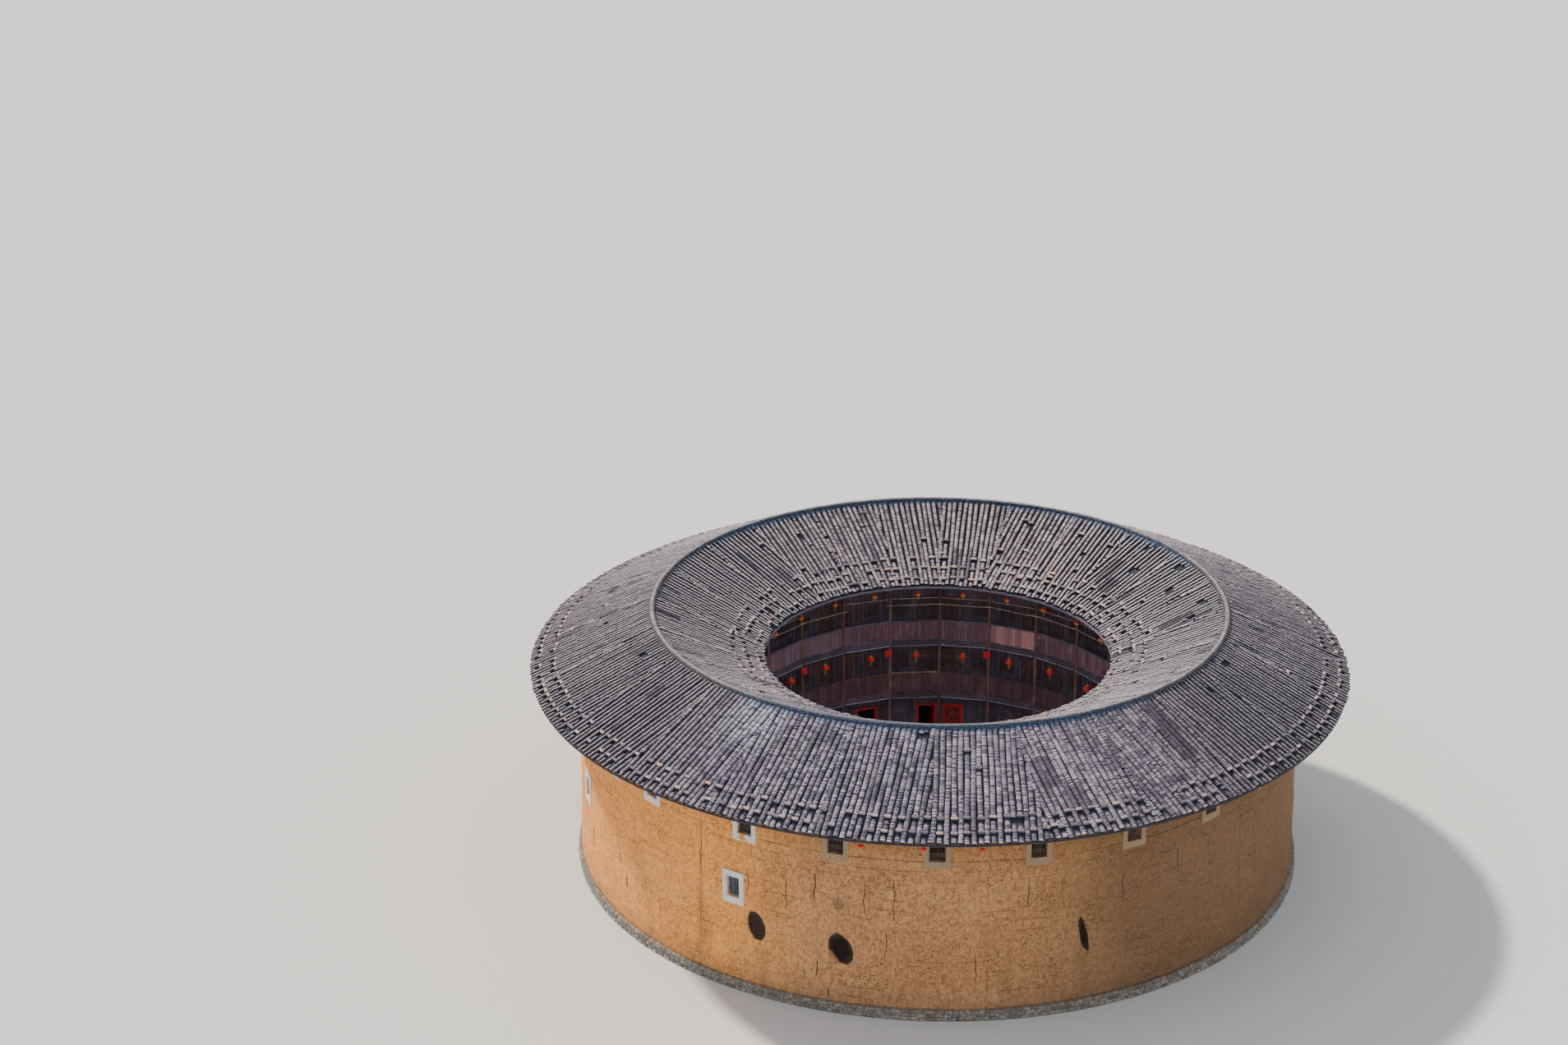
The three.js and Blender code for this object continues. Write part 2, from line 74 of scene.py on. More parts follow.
class Wire:
    """A socket of a material's nodes. Sums and products with it add Math nodes."""

    def __init__(self, socket):
        self.socket = socket

    def node(self, kind, settings=None, inputs=None, output=0):
        """Any other node: its settings, the values or links of its inputs, and its output."""
        new = self.socket.id_data.nodes.new("ShaderNode" + kind)
        for name, value in (settings or {}).items():
            setattr(new, name, value)
        for name, value in (inputs or {}).items():
            if isinstance(value, Wire):
                self.socket.id_data.links.new(value.socket, new.inputs[name])
            elif isinstance(value, tuple) and new.inputs[name].type == "RGBA":
                new.inputs[name].default_value = (*value, 1)
            else:
                new.inputs[name].default_value = value
        return Wire(new.outputs[output])

    def math(self, operation, *others):
        """The result of a Math node, with this as its first value."""
        return self.node("Math", {"operation": operation}, dict(enumerate((self, *others))))

    def __add__(self, other):
        return self.math("ADD", other)

    def __sub__(self, other):
        return self.math("SUBTRACT", other)

    def __rsub__(self, other):
        return self.node("Math", {"operation": "SUBTRACT"}, {0: other, 1: self})

    def __mul__(self, other):
        return self.math("MULTIPLY", other)

    def __truediv__(self, other):
        return self.math("DIVIDE", other)

    def __abs__(self):
        return self.math("ABSOLUTE")

    __radd__ = __add__
    __rmul__ = __mul__

    def above(self, low, high):
        """0 where this is under low, 1 where it is over high, and a soft step between."""
        settings = {"interpolation_type": "SMOOTHSTEP"}
        return self.node("MapRange", settings, {"Value": self, "From Min": low, "From Max": high})

    def within(self, start, full, fade, end):
        """1 from full to fade, 0 under start and over end, with soft steps between."""
        return self.above(start, full) * (1 - self.above(fade, end))

    def ramp(self, *stops):
        """The colour at this on a ramp, whose stops each have a place and a colour."""
        found = self.node("ValToRGB", {}, {"Fac": self})
        elements = found.socket.node.color_ramp.elements
        while len(elements) < len(stops):
            elements.new(0.5)
        for element, (place, colour) in zip(elements, stops):
            element.position = place
            element.color = (*colour, 1)
        return found

    def blend(self, first, second, way="MIX"):
        """The first colour where this is 0 and the second where it is 1."""
        settings = {"data_type": "RGBA", "blend_type": way}
        return self.node("Mix", settings, {0: self, 6: first, 7: second}, output=2)

    def stretch(self, x, y, z):
        """These coordinates, scaled along each axis."""
        return self.node("Mapping", {"vector_type": "POINT"}, {"Vector": self, "Scale": (x, y, z)})

    def cloud(self, scale, detail=3.0, roughness=0.5, distortion=0.0):
        """Soft noise, about 0.5, over these coordinates."""
        inputs = {"Vector": self, "Scale": scale, "Detail": detail, "Roughness": roughness}
        return self.node("TexNoise", {}, {**inputs, "Distortion": distortion})

    def cells(self, scale):
        """The distance from the nearest of many scattered points."""
        return self.node("TexVoronoi", {"feature": "F1"}, {"Vector": self, "Scale": scale})

    def part(self, axis):
        return self.node("SeparateXYZ", {}, {0: self}, output=axis)


class Finish:
    """A new material, with its shader and a point on the piece as a start for patterns."""

    def __init__(self, name, roughness, slot):
        self.material = bpy.data.materials.new(name)
        self.material.use_nodes = True
        self.slot = slot
        tree = self.material.node_tree
        self.shader = tree.nodes["Principled BSDF"]
        self.shader.inputs["Roughness"].default_value = roughness
        self.place = Wire(tree.nodes.new("ShaderNodeTexCoord").outputs["Object"])

    def attribute(self, name, output="Fac"):
        return self.place.node("Attribute", {"attribute_name": name}, output=output)

    def set(self, socket, value):
        self.material.node_tree.links.new(value.socket, self.shader.inputs[socket])

    def coat(self, share, colour, way="MIX"):
        """Blends another colour over the finish's own."""
        before = Wire(self.shader.inputs["Base Color"].links[0].from_socket)
        self.set("Base Color", share.blend(before, colour, way))

    def bump(self, height, distance, strength=1.0):
        inputs = {"Height": height, "Distance": distance, "Strength": strength}
        self.set("Normal", self.place.node("Bump", {}, inputs))

    def round_house(self):
        """Azimuth in metres along a ring of UNROLLED radius, distance from the axis, height."""
        x, y, z = (self.place.part(axis) for axis in range(3))
        along = x.math("ARCTAN2", y * -1.0) * UNROLLED
        radius = (x * x + y * y).math("SQRT")
        return along, radius, z

    def ring_place(self):
        """The same three as one place, for patterns that run round the house."""
        along, radius, height = self.round_house()
        return self.place.node("CombineXYZ", {}, {0: along, 1: radius, 2: height})


def dress(piece, finish):
    """Gives a piece its material."""
    piece.data.materials.clear()
    piece.data.materials.append(finish.material)


def around(azimuth, radius, height=0.0):
    """The place on a ring about the house's axis, with x across and -y outward there."""
    turn = Matrix.Rotation(math.radians(azimuth), 4, "Z")
    return turn @ Matrix.Translation((0, -radius, height))


def choose(piece):
    """Selects one piece alone and makes it the active one."""
    bpy.ops.object.select_all(action="DESELECT")
    bpy.context.view_layer.objects.active = piece
    piece.select_set(True)


def take(name):
    """The object just added, named, with its place, turn and scale taken into its mesh."""
    piece = bpy.context.object
    piece.name = name
    bpy.ops.object.transform_apply(location=True, rotation=True, scale=True)
    return piece


def start_edit(piece):
    choose(piece)
    bpy.ops.object.mode_set(mode="EDIT")
    bpy.ops.mesh.select_all(action="SELECT")


def end_edit(piece):
    bpy.ops.object.mode_set(mode="OBJECT")
    piece.data.update()


def timber(name, size, bevel=0.008):
    """A squared timber or board with worn edges, modelled about its own centre."""
    bpy.ops.object.select_all(action="DESELECT")
    bpy.ops.mesh.primitive_cube_add(size=1, scale=size)
    piece = take(name)
    start_edit(piece)
    bpy.ops.mesh.bevel(offset=bevel, segments=1, affect="EDGES")
    end_edit(piece)
    return piece


def read(items, name, width=1, kind=float):
    """One property of all of a mesh's points, corners or faces."""
    values = np.zeros(len(items) * width, kind)
    items.foreach_get(name, values)
    return values


def lay(name, master, places, finish=None, tints=None):
    """One mesh with a copy of the master at each place. Each copy gets a tint of its own."""
    mesh = master.data
    count = len(places)
    points = read(mesh.vertices, "co", 3).reshape(-1, 3)
    points = np.c_[points, np.ones(len(points))]
    corners = read(mesh.loops, "vertex_index", kind=int)
    starts = read(mesh.polygons, "loop_start", kind=int)
    kinds = read(mesh.polygons, "material_index", kind=int)
    matrices = np.array(places, dtype=float).reshape(count, 4, 4)
    moved = np.einsum("kij,vj->kvi", matrices, points)[:, :, :3]
    steps = np.arange(count)[:, None]
    new = bpy.data.meshes.new(name)
    new.vertices.add(count * len(points))
    new.vertices.foreach_set("co", moved.ravel())
    new.loops.add(count * len(corners))
    new.loops.foreach_set("vertex_index", (corners + steps * len(points)).ravel())
    new.polygons.add(count * len(starts))
    new.polygons.foreach_set("loop_start", (starts + steps * len(corners)).ravel())
    new.polygons.foreach_set("material_index", np.tile(kinds, count))
    for source in mesh.attributes:
        if source.domain == "CORNER" and source.data_type == "FLOAT":
            values = np.tile(read(source.data, "value"), count)
            new.attributes.new(source.name, "FLOAT", "CORNER").data.foreach_set("value", values)
    if tints is None:
        tints = np.random.default_rng(count).random(count)
    tints = np.repeat(tints, len(points))
    new.attributes.new("tint", "FLOAT", "POINT").data.foreach_set("value", tints)
    for material in mesh.materials:
        new.materials.append(material)
    new.update(calc_edges=True)
    piece = bpy.data.objects.new(name, new)
    bpy.context.scene.collection.objects.link(piece)
    if finish:
        dress(piece, finish)
    return piece


def put_away(*masters):
    """Deletes the models that were copied."""
    for master in masters:
        bpy.data.objects.remove(master)


def soften(piece, degrees):
    """Smooths the shading over edges that turn by less than an angle."""
    choose(piece)
    bpy.ops.object.shade_smooth_by_angle(angle=math.radians(degrees))


def house_part(piece):
    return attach(piece, "house")


stone = Finish("field_stone", 0.88, "field_stone")
grain = stone.place.cloud(9.0, 6.0, 0.6)
stone.set("Base Color", stone.attribute("tint").ramp(
    (0.0, (0.20, 0.17, 0.14)), (0.35, (0.32, 0.29, 0.25)),
    (0.7, (0.42, 0.36, 0.29)), (1.0, (0.25, 0.25, 0.25))))
stone.coat(grain.above(0.35, 0.7), (0.12, 0.10, 0.08))
stone.bump(grain + stone.place.cloud(40.0, 3.0) * 0.3, 0.03)

FOOTING_RADIUS = 16.06
FOOTING_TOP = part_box("stone_footing")[1].z
COURSES = [(0.0, 0.17), (0.165, 0.31), (0.305, FOOTING_TOP)]
GATE_AZIMUTH = -98.5
GATE_HALF = 0.85
NOISE_SEED = 3
noise.seed_set(NOISE_SEED)
field_stone = timber("field_stone", (1, 1, 1), 0.16)
for vertex in field_stone.data.vertices:
    vertex.co += noise.noise_vector(vertex.co * 2.3) * 0.09
soften(field_stone, 60)
chance = np.random.default_rng(3)
for course, (low, high) in enumerate(COURSES):
    places = []
    azimuth = -180.0 + course
    while azimuth < 180.0 + course - 1.0:
        length = chance.uniform(0.24, 0.5)
        middle = azimuth + math.degrees(length / 2 / FOOTING_RADIUS)
        azimuth = middle + math.degrees(length / 2 / FOOTING_RADIUS)
        in_gate = abs(math.radians(middle - GATE_AZIMUTH)) * FOOTING_RADIUS < GATE_HALF + 0.15
        if in_gate and low > 0.1:
            continue
        size = Matrix.Diagonal((length * 1.04, 0.34, (high - low) * chance.uniform(1.0, 1.1), 1))
        turn = Matrix.Rotation(math.pi * chance.integers(0, 2), 4, "Y")
        place = around(middle, FOOTING_RADIUS - 0.135 - 0.012 * course, (low + high) / 2)
        places.append(place @ size @ turn)
    stones = lay(f"footing_course_{course + 1}", field_stone, places, stone)
    for vertex in stones.data.vertices:
        vertex.co.z = max(vertex.co.z, 0.0)
    soften(stones, 60)
    house_part(stones)
put_away(field_stone)

clay = Finish("clay_joints", 0.95, "field_stone")
crumbs = clay.place.cloud(14.0, 6.0, 0.65)
clay.set("Base Color", crumbs.above(0.35, 0.7).blend((0.26, 0.19, 0.12), (0.13, 0.09, 0.06)))
clay.bump(crumbs, 0.02)
dress(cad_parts["stone_footing"], clay)


# Earth wall. Local earth with lime and sand, rammed in lifts about 0.45 m high between boards,
# 1 to 1.3 m thick. Rain has pitted its face, washed out the soft beds between the lifts and
# worn two hollows. Each part takes the CAD part's outline, with its face modelled finer.

LIFT = 0.45
FACE_STEPS = 107
FACE_RISE = 0.1
SIDE = math.radians(5)
CRACK_PANEL = 2.9
MAIN_JOINT = 6.36
HOLLOW_LEAN = 0.22
WORN_BOWLS = ((-13.9, 2.85, 0.60, 0.80, 0.16), (-27.4, 3.1, 0.48, 0.72, 0.22))

earth = Finish("rammed_earth", 0.96, "rammed_earth")
along, radius, height = earth.round_house()
bed = earth.ring_place()
wander = bed.stretch(0.25, 0.25, 0.9).cloud(1.0, 3.0)
lift = (height + wander * 0.20) / LIFT
from_joint = lift.math("PINGPONG", 0.5)
broken = bed.stretch(0.5, 0.5, 1.1).cloud(1.0, 4.0, 0.6).above(0.50, 0.62)
lift_joint = (1 - from_joint.above(0.012, 0.05)) * broken
bedding = bed.stretch(1.3, 1.3, 7.0).cloud(1.0, 4.0, 0.6)
rain = bed.stretch(24.0, 24.0, 1.3).cloud(1.0, 4.0, 0.65)
specks = bed.stretch(9.0, 9.0, 11.0).cloud(1.0, 4.0, 0.75)
patches = bed.stretch(0.16, 0.16, 0.3).cloud(1.0, 4.0, 0.55)
blotches = bed.stretch(7.0, 7.0, 5.0).cloud(1.0, 3.0, 0.6)
shaded_right = along.within(2.0, 9.0, 24.0, 30.0)
stains = bed.stretch(0.9, 0.9, 0.16).cloud(1.0, 5.0, 0.6)
under_eave = height.above(6.2, 8.9)
pit_zone = bed.stretch(0.5, 0.5, 0.9).cloud(1.0, 4.0, 0.65) + under_eave * 0.12
pit_bed = bed.stretch(7.0, 7.0, 13.0)
pit_bed = pit_bed.node("VectorMath", {"operation": "ADD"}, {0: pit_bed, 1: specks * 1.8})
pits = (1 - pit_bed.cells(1.0).above(0.12, 0.30)) * pit_zone.above(0.48, 0.62)
panel = (along / CRACK_PANEL).math("FLOOR")
dice = panel.node("TexWhiteNoise", {"noise_dimensions": "1D"}, {"W": panel}, output=1)
crack_wander = panel.node("CombineXYZ", {}, {0: panel * 7.7, 2: height * 1.7}).cloud(1.0, 4.0, 0.6)
crack_place = (panel + 0.2 + dice.part(0) * 0.6) * CRACK_PANEL + crack_wander * 0.5 - 0.25
from_crack = abs(along - crack_place)
crack_reach = abs(height - (dice.part(1) * 7.0 + 1.2))
crack = (1 - from_crack.above(0.004, 0.022)) * (1 - crack_reach.above(0.35, 0.8))
crack = crack * dice.part(2).above(0.3, 0.5)
upright = ((along + wander * 0.5) / 0.93).math("PINGPONG", 0.5)
upright_crack = (1 - upright.above(0.008, 0.022)) * (1 - broken)
upright_crack = upright_crack * bed.stretch(1.1, 1.1, 0.45).cloud(1.0, 2.0).above(0.50, 0.60)


def mark(azimuth, low, high, width):
    """A crack at an azimuth, from one height to another."""
    middle = math.radians(azimuth) * UNROLLED
    from_line = abs(along + crack_wander * 0.3 - 0.15 - middle)
    line = 1 - from_line.above(0.4 * width, width)
    return line * height.within(low - 0.08, low + 0.12, high - 0.12, high + 0.08)


def hollow(azimuth, middle, half_width, half_height):
    """1 inside a ragged oval on the face, leaning to the left."""
    lean = (height - middle) * HOLLOW_LEAN + (patches - 0.5) * 0.3
    across = (along - math.radians(azimuth) * UNROLLED + lean) / half_width
    up = (height - middle + (bedding - 0.5) * 0.25) / half_height
    return 1 - (across * across + up * up).above(0.80, 1.05)


for azimuth, low, high, width in (
    (-18.0, 4.9, 6.1, 0.035), (-17.6, 1.5, 2.2, 0.03), (-15.8, 0.6, 1.1, 0.04),
    (-68.9, 2.2, 3.1, 0.07), (-55.3, 2.0, 2.6, 0.06), (-10.5, 4.6, 6.0, 0.02),
    (-6.2, 4.4, 6.2, 0.02), (-22.5, 4.2, 5.6, 0.02),
):
    crack = crack.math("MAXIMUM", mark(azimuth, low, high, width))
main_joint = 1 - abs(height + wander * 0.3 - MAIN_JOINT).above(0.008, 0.035)
main_joint = main_joint * along.above(-8.5, -7.0) * bed.cloud(2.5, 3.0).above(0.40, 0.55)
splash = 1 - height.above(0.3, 1.7)
# Painted light: the left of the front wall is painted brighter and more orange, for the warm light thrown
# up from the sunlit ground on that side.
warm_lit_left = (1 - along.above(-9.5, -4.5)) * along.above(-32.0, -27.0)
light_earth = warm_lit_left.blend((0.64, 0.325, 0.145), (1.0, 0.46, 0.12))
deep_earth = warm_lit_left.blend((0.52, 0.250, 0.104), (1.0, 0.39, 0.085))
earth.set("Base Color", patches.above(0.35, 0.65).blend(deep_earth, light_earth))
for share, usual, lit_left_tone in (
    ((1 - blotches.above(0.40, 0.52)) * 0.6, (0.30, 0.125, 0.042), (0.66, 0.175, 0.022)),
    (blotches.above(0.55, 0.66) * 0.5, (0.74, 0.40, 0.17), (1.0, 0.44, 0.10)),
    (bedding.above(0.3, 0.8) * 0.3, (0.36, 0.155, 0.052), (0.60, 0.19, 0.030)),
    (rain.above(0.46, 0.66) * 0.5, (0.32, 0.135, 0.045), (0.56, 0.17, 0.026)),
    (specks.above(0.52, 0.66) * 0.55, (0.84, 0.46, 0.20), (1.0, 0.52, 0.16)),
    ((1 - specks.above(0.34, 0.45)) * 0.6, (0.19, 0.080, 0.028), (0.42, 0.105, 0.014)),
):
    earth.coat(share, warm_lit_left.blend(usual, lit_left_tone))
earth.coat(stains.above(0.56, 0.76) * 0.40, (0.27, 0.135, 0.065))
# Painted shade: the wall just under the eave is darkened and warmed, for the eave's shadow.
earth.coat(under_eave.above(0.15, 0.85) * 0.65, warm_lit_left.blend((0.38, 0.165, 0.032), (1.0, 0.37, 0.065)))
earth.coat((lift_joint + main_joint + upright_crack * 0.8) * 0.55, (0.20, 0.10, 0.048))
earth.coat(pits * 0.9, (0.075, 0.036, 0.02))
earth.coat(crack * 0.92, (0.04, 0.022, 0.018))
earth.coat(splash * 0.4, (0.25, 0.15, 0.09))
# Painted shade: the wall on the right of the front is darkened.
earth.coat(shaded_right * 0.72, (0.13, 0.075, 0.034))
smear = hollow(-14.4, 4.9, 0.24, 0.30) + hollow(-57.4, 3.15, 0.16, 0.30)
earth.coat(smear * 0.45, (0.10, 0.06, 0.045))
# Painted shade: the two worn hollows and a cleft at 22 degrees are painted near-black, for the shade deep
# in them.
in_hollow = hollow(-13.9, 2.85, 0.52, 0.72) + hollow(-27.4, 3.1, 0.42, 0.66)
in_hollow = in_hollow + hollow(22.0, 3.35, 0.17, 0.85)
earth.coat(in_hollow * 0.96, (0.012, 0.009, 0.010))
relief = bedding * 0.3 + specks * 0.5 + rain * 0.35 - lift_joint * 0.5 - pits * 1.2 - crack * 1.2
earth.bump(relief, 0.045)


def pick_faces(piece, wanted):
    """Selects, in edit mode, the faces for which wanted(centre, normal) is true."""
    bpy.ops.mesh.select_mode(type="FACE")
    bpy.ops.mesh.select_all(action="DESELECT")
    shape = bmesh.from_edit_mesh(piece.data)
    for face in shape.faces:
        face.select_set(bool(wanted(face.calc_center_median(), face.normal)))
    bmesh.update_edit_mesh(piece.data)


def settle(piece, finish, degrees):
    """Smooths and dresses a piece made in one, and fixes it to the house."""
    soften(piece, degrees)
    dress(piece, finish)
    return house_part(piece)


def weather(point):
    """How far the wall's face has worn back, in metres, at a point on it."""
    ring_place = Vector((math.atan2(point.x, -point.y) * UNROLLED, 0, point.z))
    swell = noise.fractal(ring_place * 0.35, 1.0, 2.0, 3) * 0.035
    rough = noise.fractal(Vector((ring_place.x * 2.0, 5, ring_place.z * 4.5)), 0.8, 2.0, 3) * 0.014
    lift_place = (point.z + 0.03 * noise.noise(ring_place * 0.5)) / LIFT
    joint = max(0.0, 1 - abs(lift_place - round(lift_place)) * 7)
    wash = noise.noise(Vector((ring_place.x * 0.6, 2, ring_place.z * 1.3))) + 0.25
    bowl = 0.0
    for azimuth, middle, half_width, half_height, depth in WORN_BOWLS:
        rise = point.z - middle
        across = (ring_place.x - math.radians(azimuth) * UNROLLED + rise * HOLLOW_LEAN) / half_width
        bowl += depth * max(0.0, 1 - across ** 2 - (rise / half_height) ** 2)
    return swell + rough - joint * max(0.0, wash) * 0.035 - bowl


def face_earth_wall(name):
    """Takes one CAD part of the wall and cuts and wears its outer face."""
    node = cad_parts[name]
    wall = bpy.data.objects.new(name.replace("wall", "face"), node.data.copy())
    bpy.context.scene.collection.objects.link(wall)
    start_edit(wall)
    bpy.ops.mesh.remove_doubles(threshold=0.0002)
    bpy.ops.mesh.dissolve_limited(angle_limit=math.radians(0.5))

    def on_face(centre, normal):
        outward = Vector((centre.x, centre.y, 0)).normalized()
        return normal.dot(outward) > 0.35 and centre.xy.length > 15.0

    low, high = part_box(name)
    for level in np.arange(low.z + FACE_RISE, high.z, FACE_RISE):
        pick_faces(wall, on_face)
        bpy.ops.mesh.bisect(plane_co=(0, 0, level), plane_no=(0, 0, 1))
    number = int(name.rsplit("_", 1)[1])
    first = math.radians(7.5 + 45 * (number - 1))
    for turn in np.linspace(first, first + math.radians(45), FACE_STEPS + 1)[1:-1]:
        pick_faces(wall, on_face)
        bpy.ops.mesh.bisect(plane_co=(0, 0, 0), plane_no=(math.cos(turn), math.sin(turn), 0))
    shape = bmesh.from_edit_mesh(wall.data)
    face_points = {v for f in shape.faces if on_face(f.calc_center_median(), f.normal) for v in f.verts}
    for vertex in face_points:
        azimuth = math.atan2(vertex.co.x, -vertex.co.y)
        side_place = azimuth % SIDE - SIDE / 2
        reach = vertex.co.xy.length
        rounded = reach * math.cos(side_place) / math.cos(SIDE / 2) + weather(vertex.co)
        vertex.co.xy *= rounded / reach
    bmesh.update_edit_mesh(wall.data)
    end_edit(wall)
    settle(wall, earth, 50)
    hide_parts(name)


for number in range(1, 9):
    face_earth_wall(f"earth_wall_{number}")
    face_earth_wall(f"wall_head_{number}")


# Windows. One to each room of the top storey and a few below, each a plastered band round the
# hole, a timber frame set back in it and upright bars. Some bands are limewashed white, the
# others are smeared with grey clay; the second storey's are all white and have a blue frame.

WALL_BATTER = 0.02674
UPPER_OPENING = (0.66, 7.1, 0.75)
LOWER_OPENING = (0.60, 4.15, 0.9)
BAND = 0.27
FRAME_WIDTH = 0.07
WINDOW_BARS = 5
WHITE_BANDS = (-60, -48.3, -29.5, 60, 75, 105, 150, -120, -90)
UPPER_AZIMUTHS = [-48.3, -29.5, -14.9, 14.8]
UPPER_AZIMUTHS += [15 * k for k in range(-11, 13) if k not in (-3, -2, -1, 1)]
LOWER_AZIMUTHS = [-31.4, -72.5, -113.5, -154.5, 164.5, 123.5, 82.5]


def wall_face(level):
    """The distance of the wall's face from the axis at a height."""
    return 15.95 - (level - FOOTING_TOP) * WALL_BATTER


plaster = Finish("window_plaster", 0.9, "rammed_earth")
stain = plaster.place.cloud(2.2, 6.0, 0.65)
crust = plaster.place.cloud(14.0, 6.0, 0.65)
limed_band = plaster.attribute("tint").above(0.45, 0.55)
plaster.set("Base Color", limed_band.blend((0.34, 0.235, 0.140), (0.72, 0.70, 0.66)))
plaster.coat(stain.above(0.5, 0.75) * 0.5, (0.33, 0.23, 0.15))
plaster.coat(crust.above(0.6, 0.75) * 0.4, (0.16, 0.12, 0.09))
plaster.bump(crust, 0.012)


def wood_finish(name, light, dark, roughness, slot, grain_axis=2):
    """Sawn timber: long grain along one axis, darker cracks, and a tint to each board."""
    finish = Finish(name, roughness, slot)
    along_grain = [22.0, 22.0, 22.0]
    along_grain[grain_axis] = 1.1
    fibres = finish.place.stretch(*along_grain).cloud(1.0, 5.0, 0.6)
    worn = finish.place.cloud(1.6, 4.0, 0.6)
    finish.set("Base Color", fibres.above(0.3, 0.7).blend(dark, light))
    for share, tone, factor in (
        (finish.attribute("tint") * 0.55, dark, 0.45),
        (worn.above(0.52, 0.72) * 0.45, light, 1.25),
        (1 - fibres.above(0.24, 0.34), dark, 0.25),
    ):
        finish.coat(share, tuple(factor * value for value in tone))
    finish.bump(fibres, 0.006, 0.8)
    return finish


window_wood = wood_finish("window_wood", (0.16, 0.11, 0.08), (0.05, 0.035, 0.03), 0.8, "dark_timber")
blue_wood = wood_finish("blue_wood", (0.19, 0.24, 0.30), (0.08, 0.11, 0.15), 0.7, "dark_timber")


def shifted(places, *shifts):
    """Each place with each of the shifts added to it."""
    return [place @ Matrix.Translation(shift) for place in places for shift in shifts]


def set_up(name, model, places, finish, tints=None, degrees=30, body="house"):
    """Lays out a model that is used once, smooths the copies and fixes them to a body."""
    piece = lay(name, model, places, finish, tints)
    soften(piece, degrees)
    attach(piece, body)
    put_away(model)
    return piece


def window_ring(name, width, rise, band, back, front, bevel):
    """A flat ring round an opening, about the opening's centre, from back to front."""
    bpy.ops.mesh.primitive_plane_add(size=1, location=(0, back, 0), rotation=(math.pi / 2, 0, 0))
    bpy.context.object.scale = (width + 2 * band, rise + 2 * band, 1)
    piece = take(name)
    start_edit(piece)
    bpy.ops.mesh.inset(thickness=band)
    bpy.ops.mesh.delete(type="FACE")
    bpy.ops.mesh.select_all(action="SELECT")
    bpy.ops.mesh.subdivide(number_cuts=3)
    bpy.ops.mesh.extrude_region_move(TRANSFORM_OT_translate={"value": (0, front - back, 0)})
    bpy.ops.mesh.select_all(action="SELECT")
    bpy.ops.mesh.normals_make_consistent(inside=False)
    bpy.ops.mesh.select_mode(type="EDGE")
    bpy.ops.mesh.select_all(action="DESELECT")
    bpy.ops.mesh.edges_select_sharp(sharpness=math.radians(30))
    bpy.ops.mesh.bevel(offset=bevel, segments=1, affect="EDGES", clamp_overlap=True)
    end_edit(piece)
    return piece


def window_set(label, azimuths, opening, frame_wood):
    """The bands, frames, bars and half-closed boards of windows of one kind."""
    width, sill, rise = opening
    middle = sill + rise / 2
    inner_width, inner_rise = width - 2 * FRAME_WIDTH, rise - 2 * FRAME_WIDTH
    band = window_ring("band", width, rise, BAND, 0.12, -0.035, 0.006)
    for vertex in band.data.vertices:
        beyond = abs(vertex.co.x) - width / 2
        if beyond > 0.02:
            vertex.co.x -= math.copysign(0.2 * beyond, vertex.co.x)
        if vertex.co.z < -rise / 2 - 0.02:
            vertex.co.z -= 0.04
        vertex.co += noise.noise_vector(vertex.co * 3.1) * 0.012
    inner = window_ring("inner", inner_width, inner_rise, FRAME_WIDTH, 0.18, 0.10, 0.006)
    bar = timber("bar", (0.035, 0.035, rise - 0.13), 0.006)
    board = timber("board", (width - 0.10, 0.02, 0.34 * rise), 0.004)
    at_face = [around(azimuth, wall_face(middle), middle) for azimuth in azimuths]
    whites = [azimuth in WHITE_BANDS or opening is LOWER_OPENING for azimuth in azimuths]
    gap = inner_width / (WINDOW_BARS + 1)
    bar_shifts = [(gap * (k + 1) - inner_width / 2, 0.14, 0) for k in range(WINDOW_BARS)]
    shades = [0.9 if white else 0.1 for white in whites]
    set_up(f"{label}_window_bands", band, at_face, plaster, shades)
    set_up(f"{label}_window_frames", inner, at_face, frame_wood)
    set_up(f"{label}_window_bars", bar, shifted(at_face, *bar_shifts), frame_wood)
    set_up(f"{label}_window_boards", board, shifted(at_face, (0, 0.17, -0.26 * rise)), window_wood)


window_set("upper", UPPER_AZIMUTHS, UPPER_OPENING, window_wood)
window_set("lower", LOWER_AZIMUTHS, LOWER_OPENING, blue_wood)


# Ground floor. Packed earth under the rooms and the veranda, held at the court by a kerb of
# long dressed stones.

BAYS = 24
BAY = 360 / BAYS
FIRST_POST = -1.0
HALF_BAY_COS = math.cos(math.radians(BAY / 2))
PLATFORM_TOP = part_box("ground_floor")[1].z
PLATFORM_EDGE = 8.45 * HALF_BAY_COS


def post_azimuth(index):
    return FIRST_POST + BAY * index


def bay_azimuth(index):
    return post_azimuth(index) + BAY / 2


packed = Finish("packed_earth", 0.95, "packed_earth")
scuffs = packed.place.cloud(1.3, 6.0, 0.65)
grit = packed.place.cloud(30.0, 4.0, 0.7)
packed.set("Base Color", scuffs.above(0.35, 0.7).blend((0.20, 0.155, 0.115), (0.31, 0.245, 0.18)))
packed.coat(grit.above(0.55, 0.7) * 0.5, (0.12, 0.10, 0.08))
packed.bump(scuffs + grit * 0.4, 0.01)
dress(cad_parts["ground_floor"], packed)

KERB_LENGTH = 0.737
KERB_RISE = PLATFORM_TOP + 0.012
kerb_stone = timber("kerb_stone", (KERB_LENGTH - 0.002, 0.30, KERB_RISE), 0.02)
kerb_middles = [around(bay_azimuth(bay), PLATFORM_EDGE + 0.14, KERB_RISE / 2) for bay in range(BAYS)]
kerb_places = shifted(kerb_middles, *((KERB_LENGTH * k, 0, 0) for k in (-1, 0, 1)))
set_up("veranda_kerb", kerb_stone, kerb_places, stone)


# Upper floors. Boards laid across joists, tight against the earth wall. The CAD plates have
# the right shape, so they keep it and get a board finish.

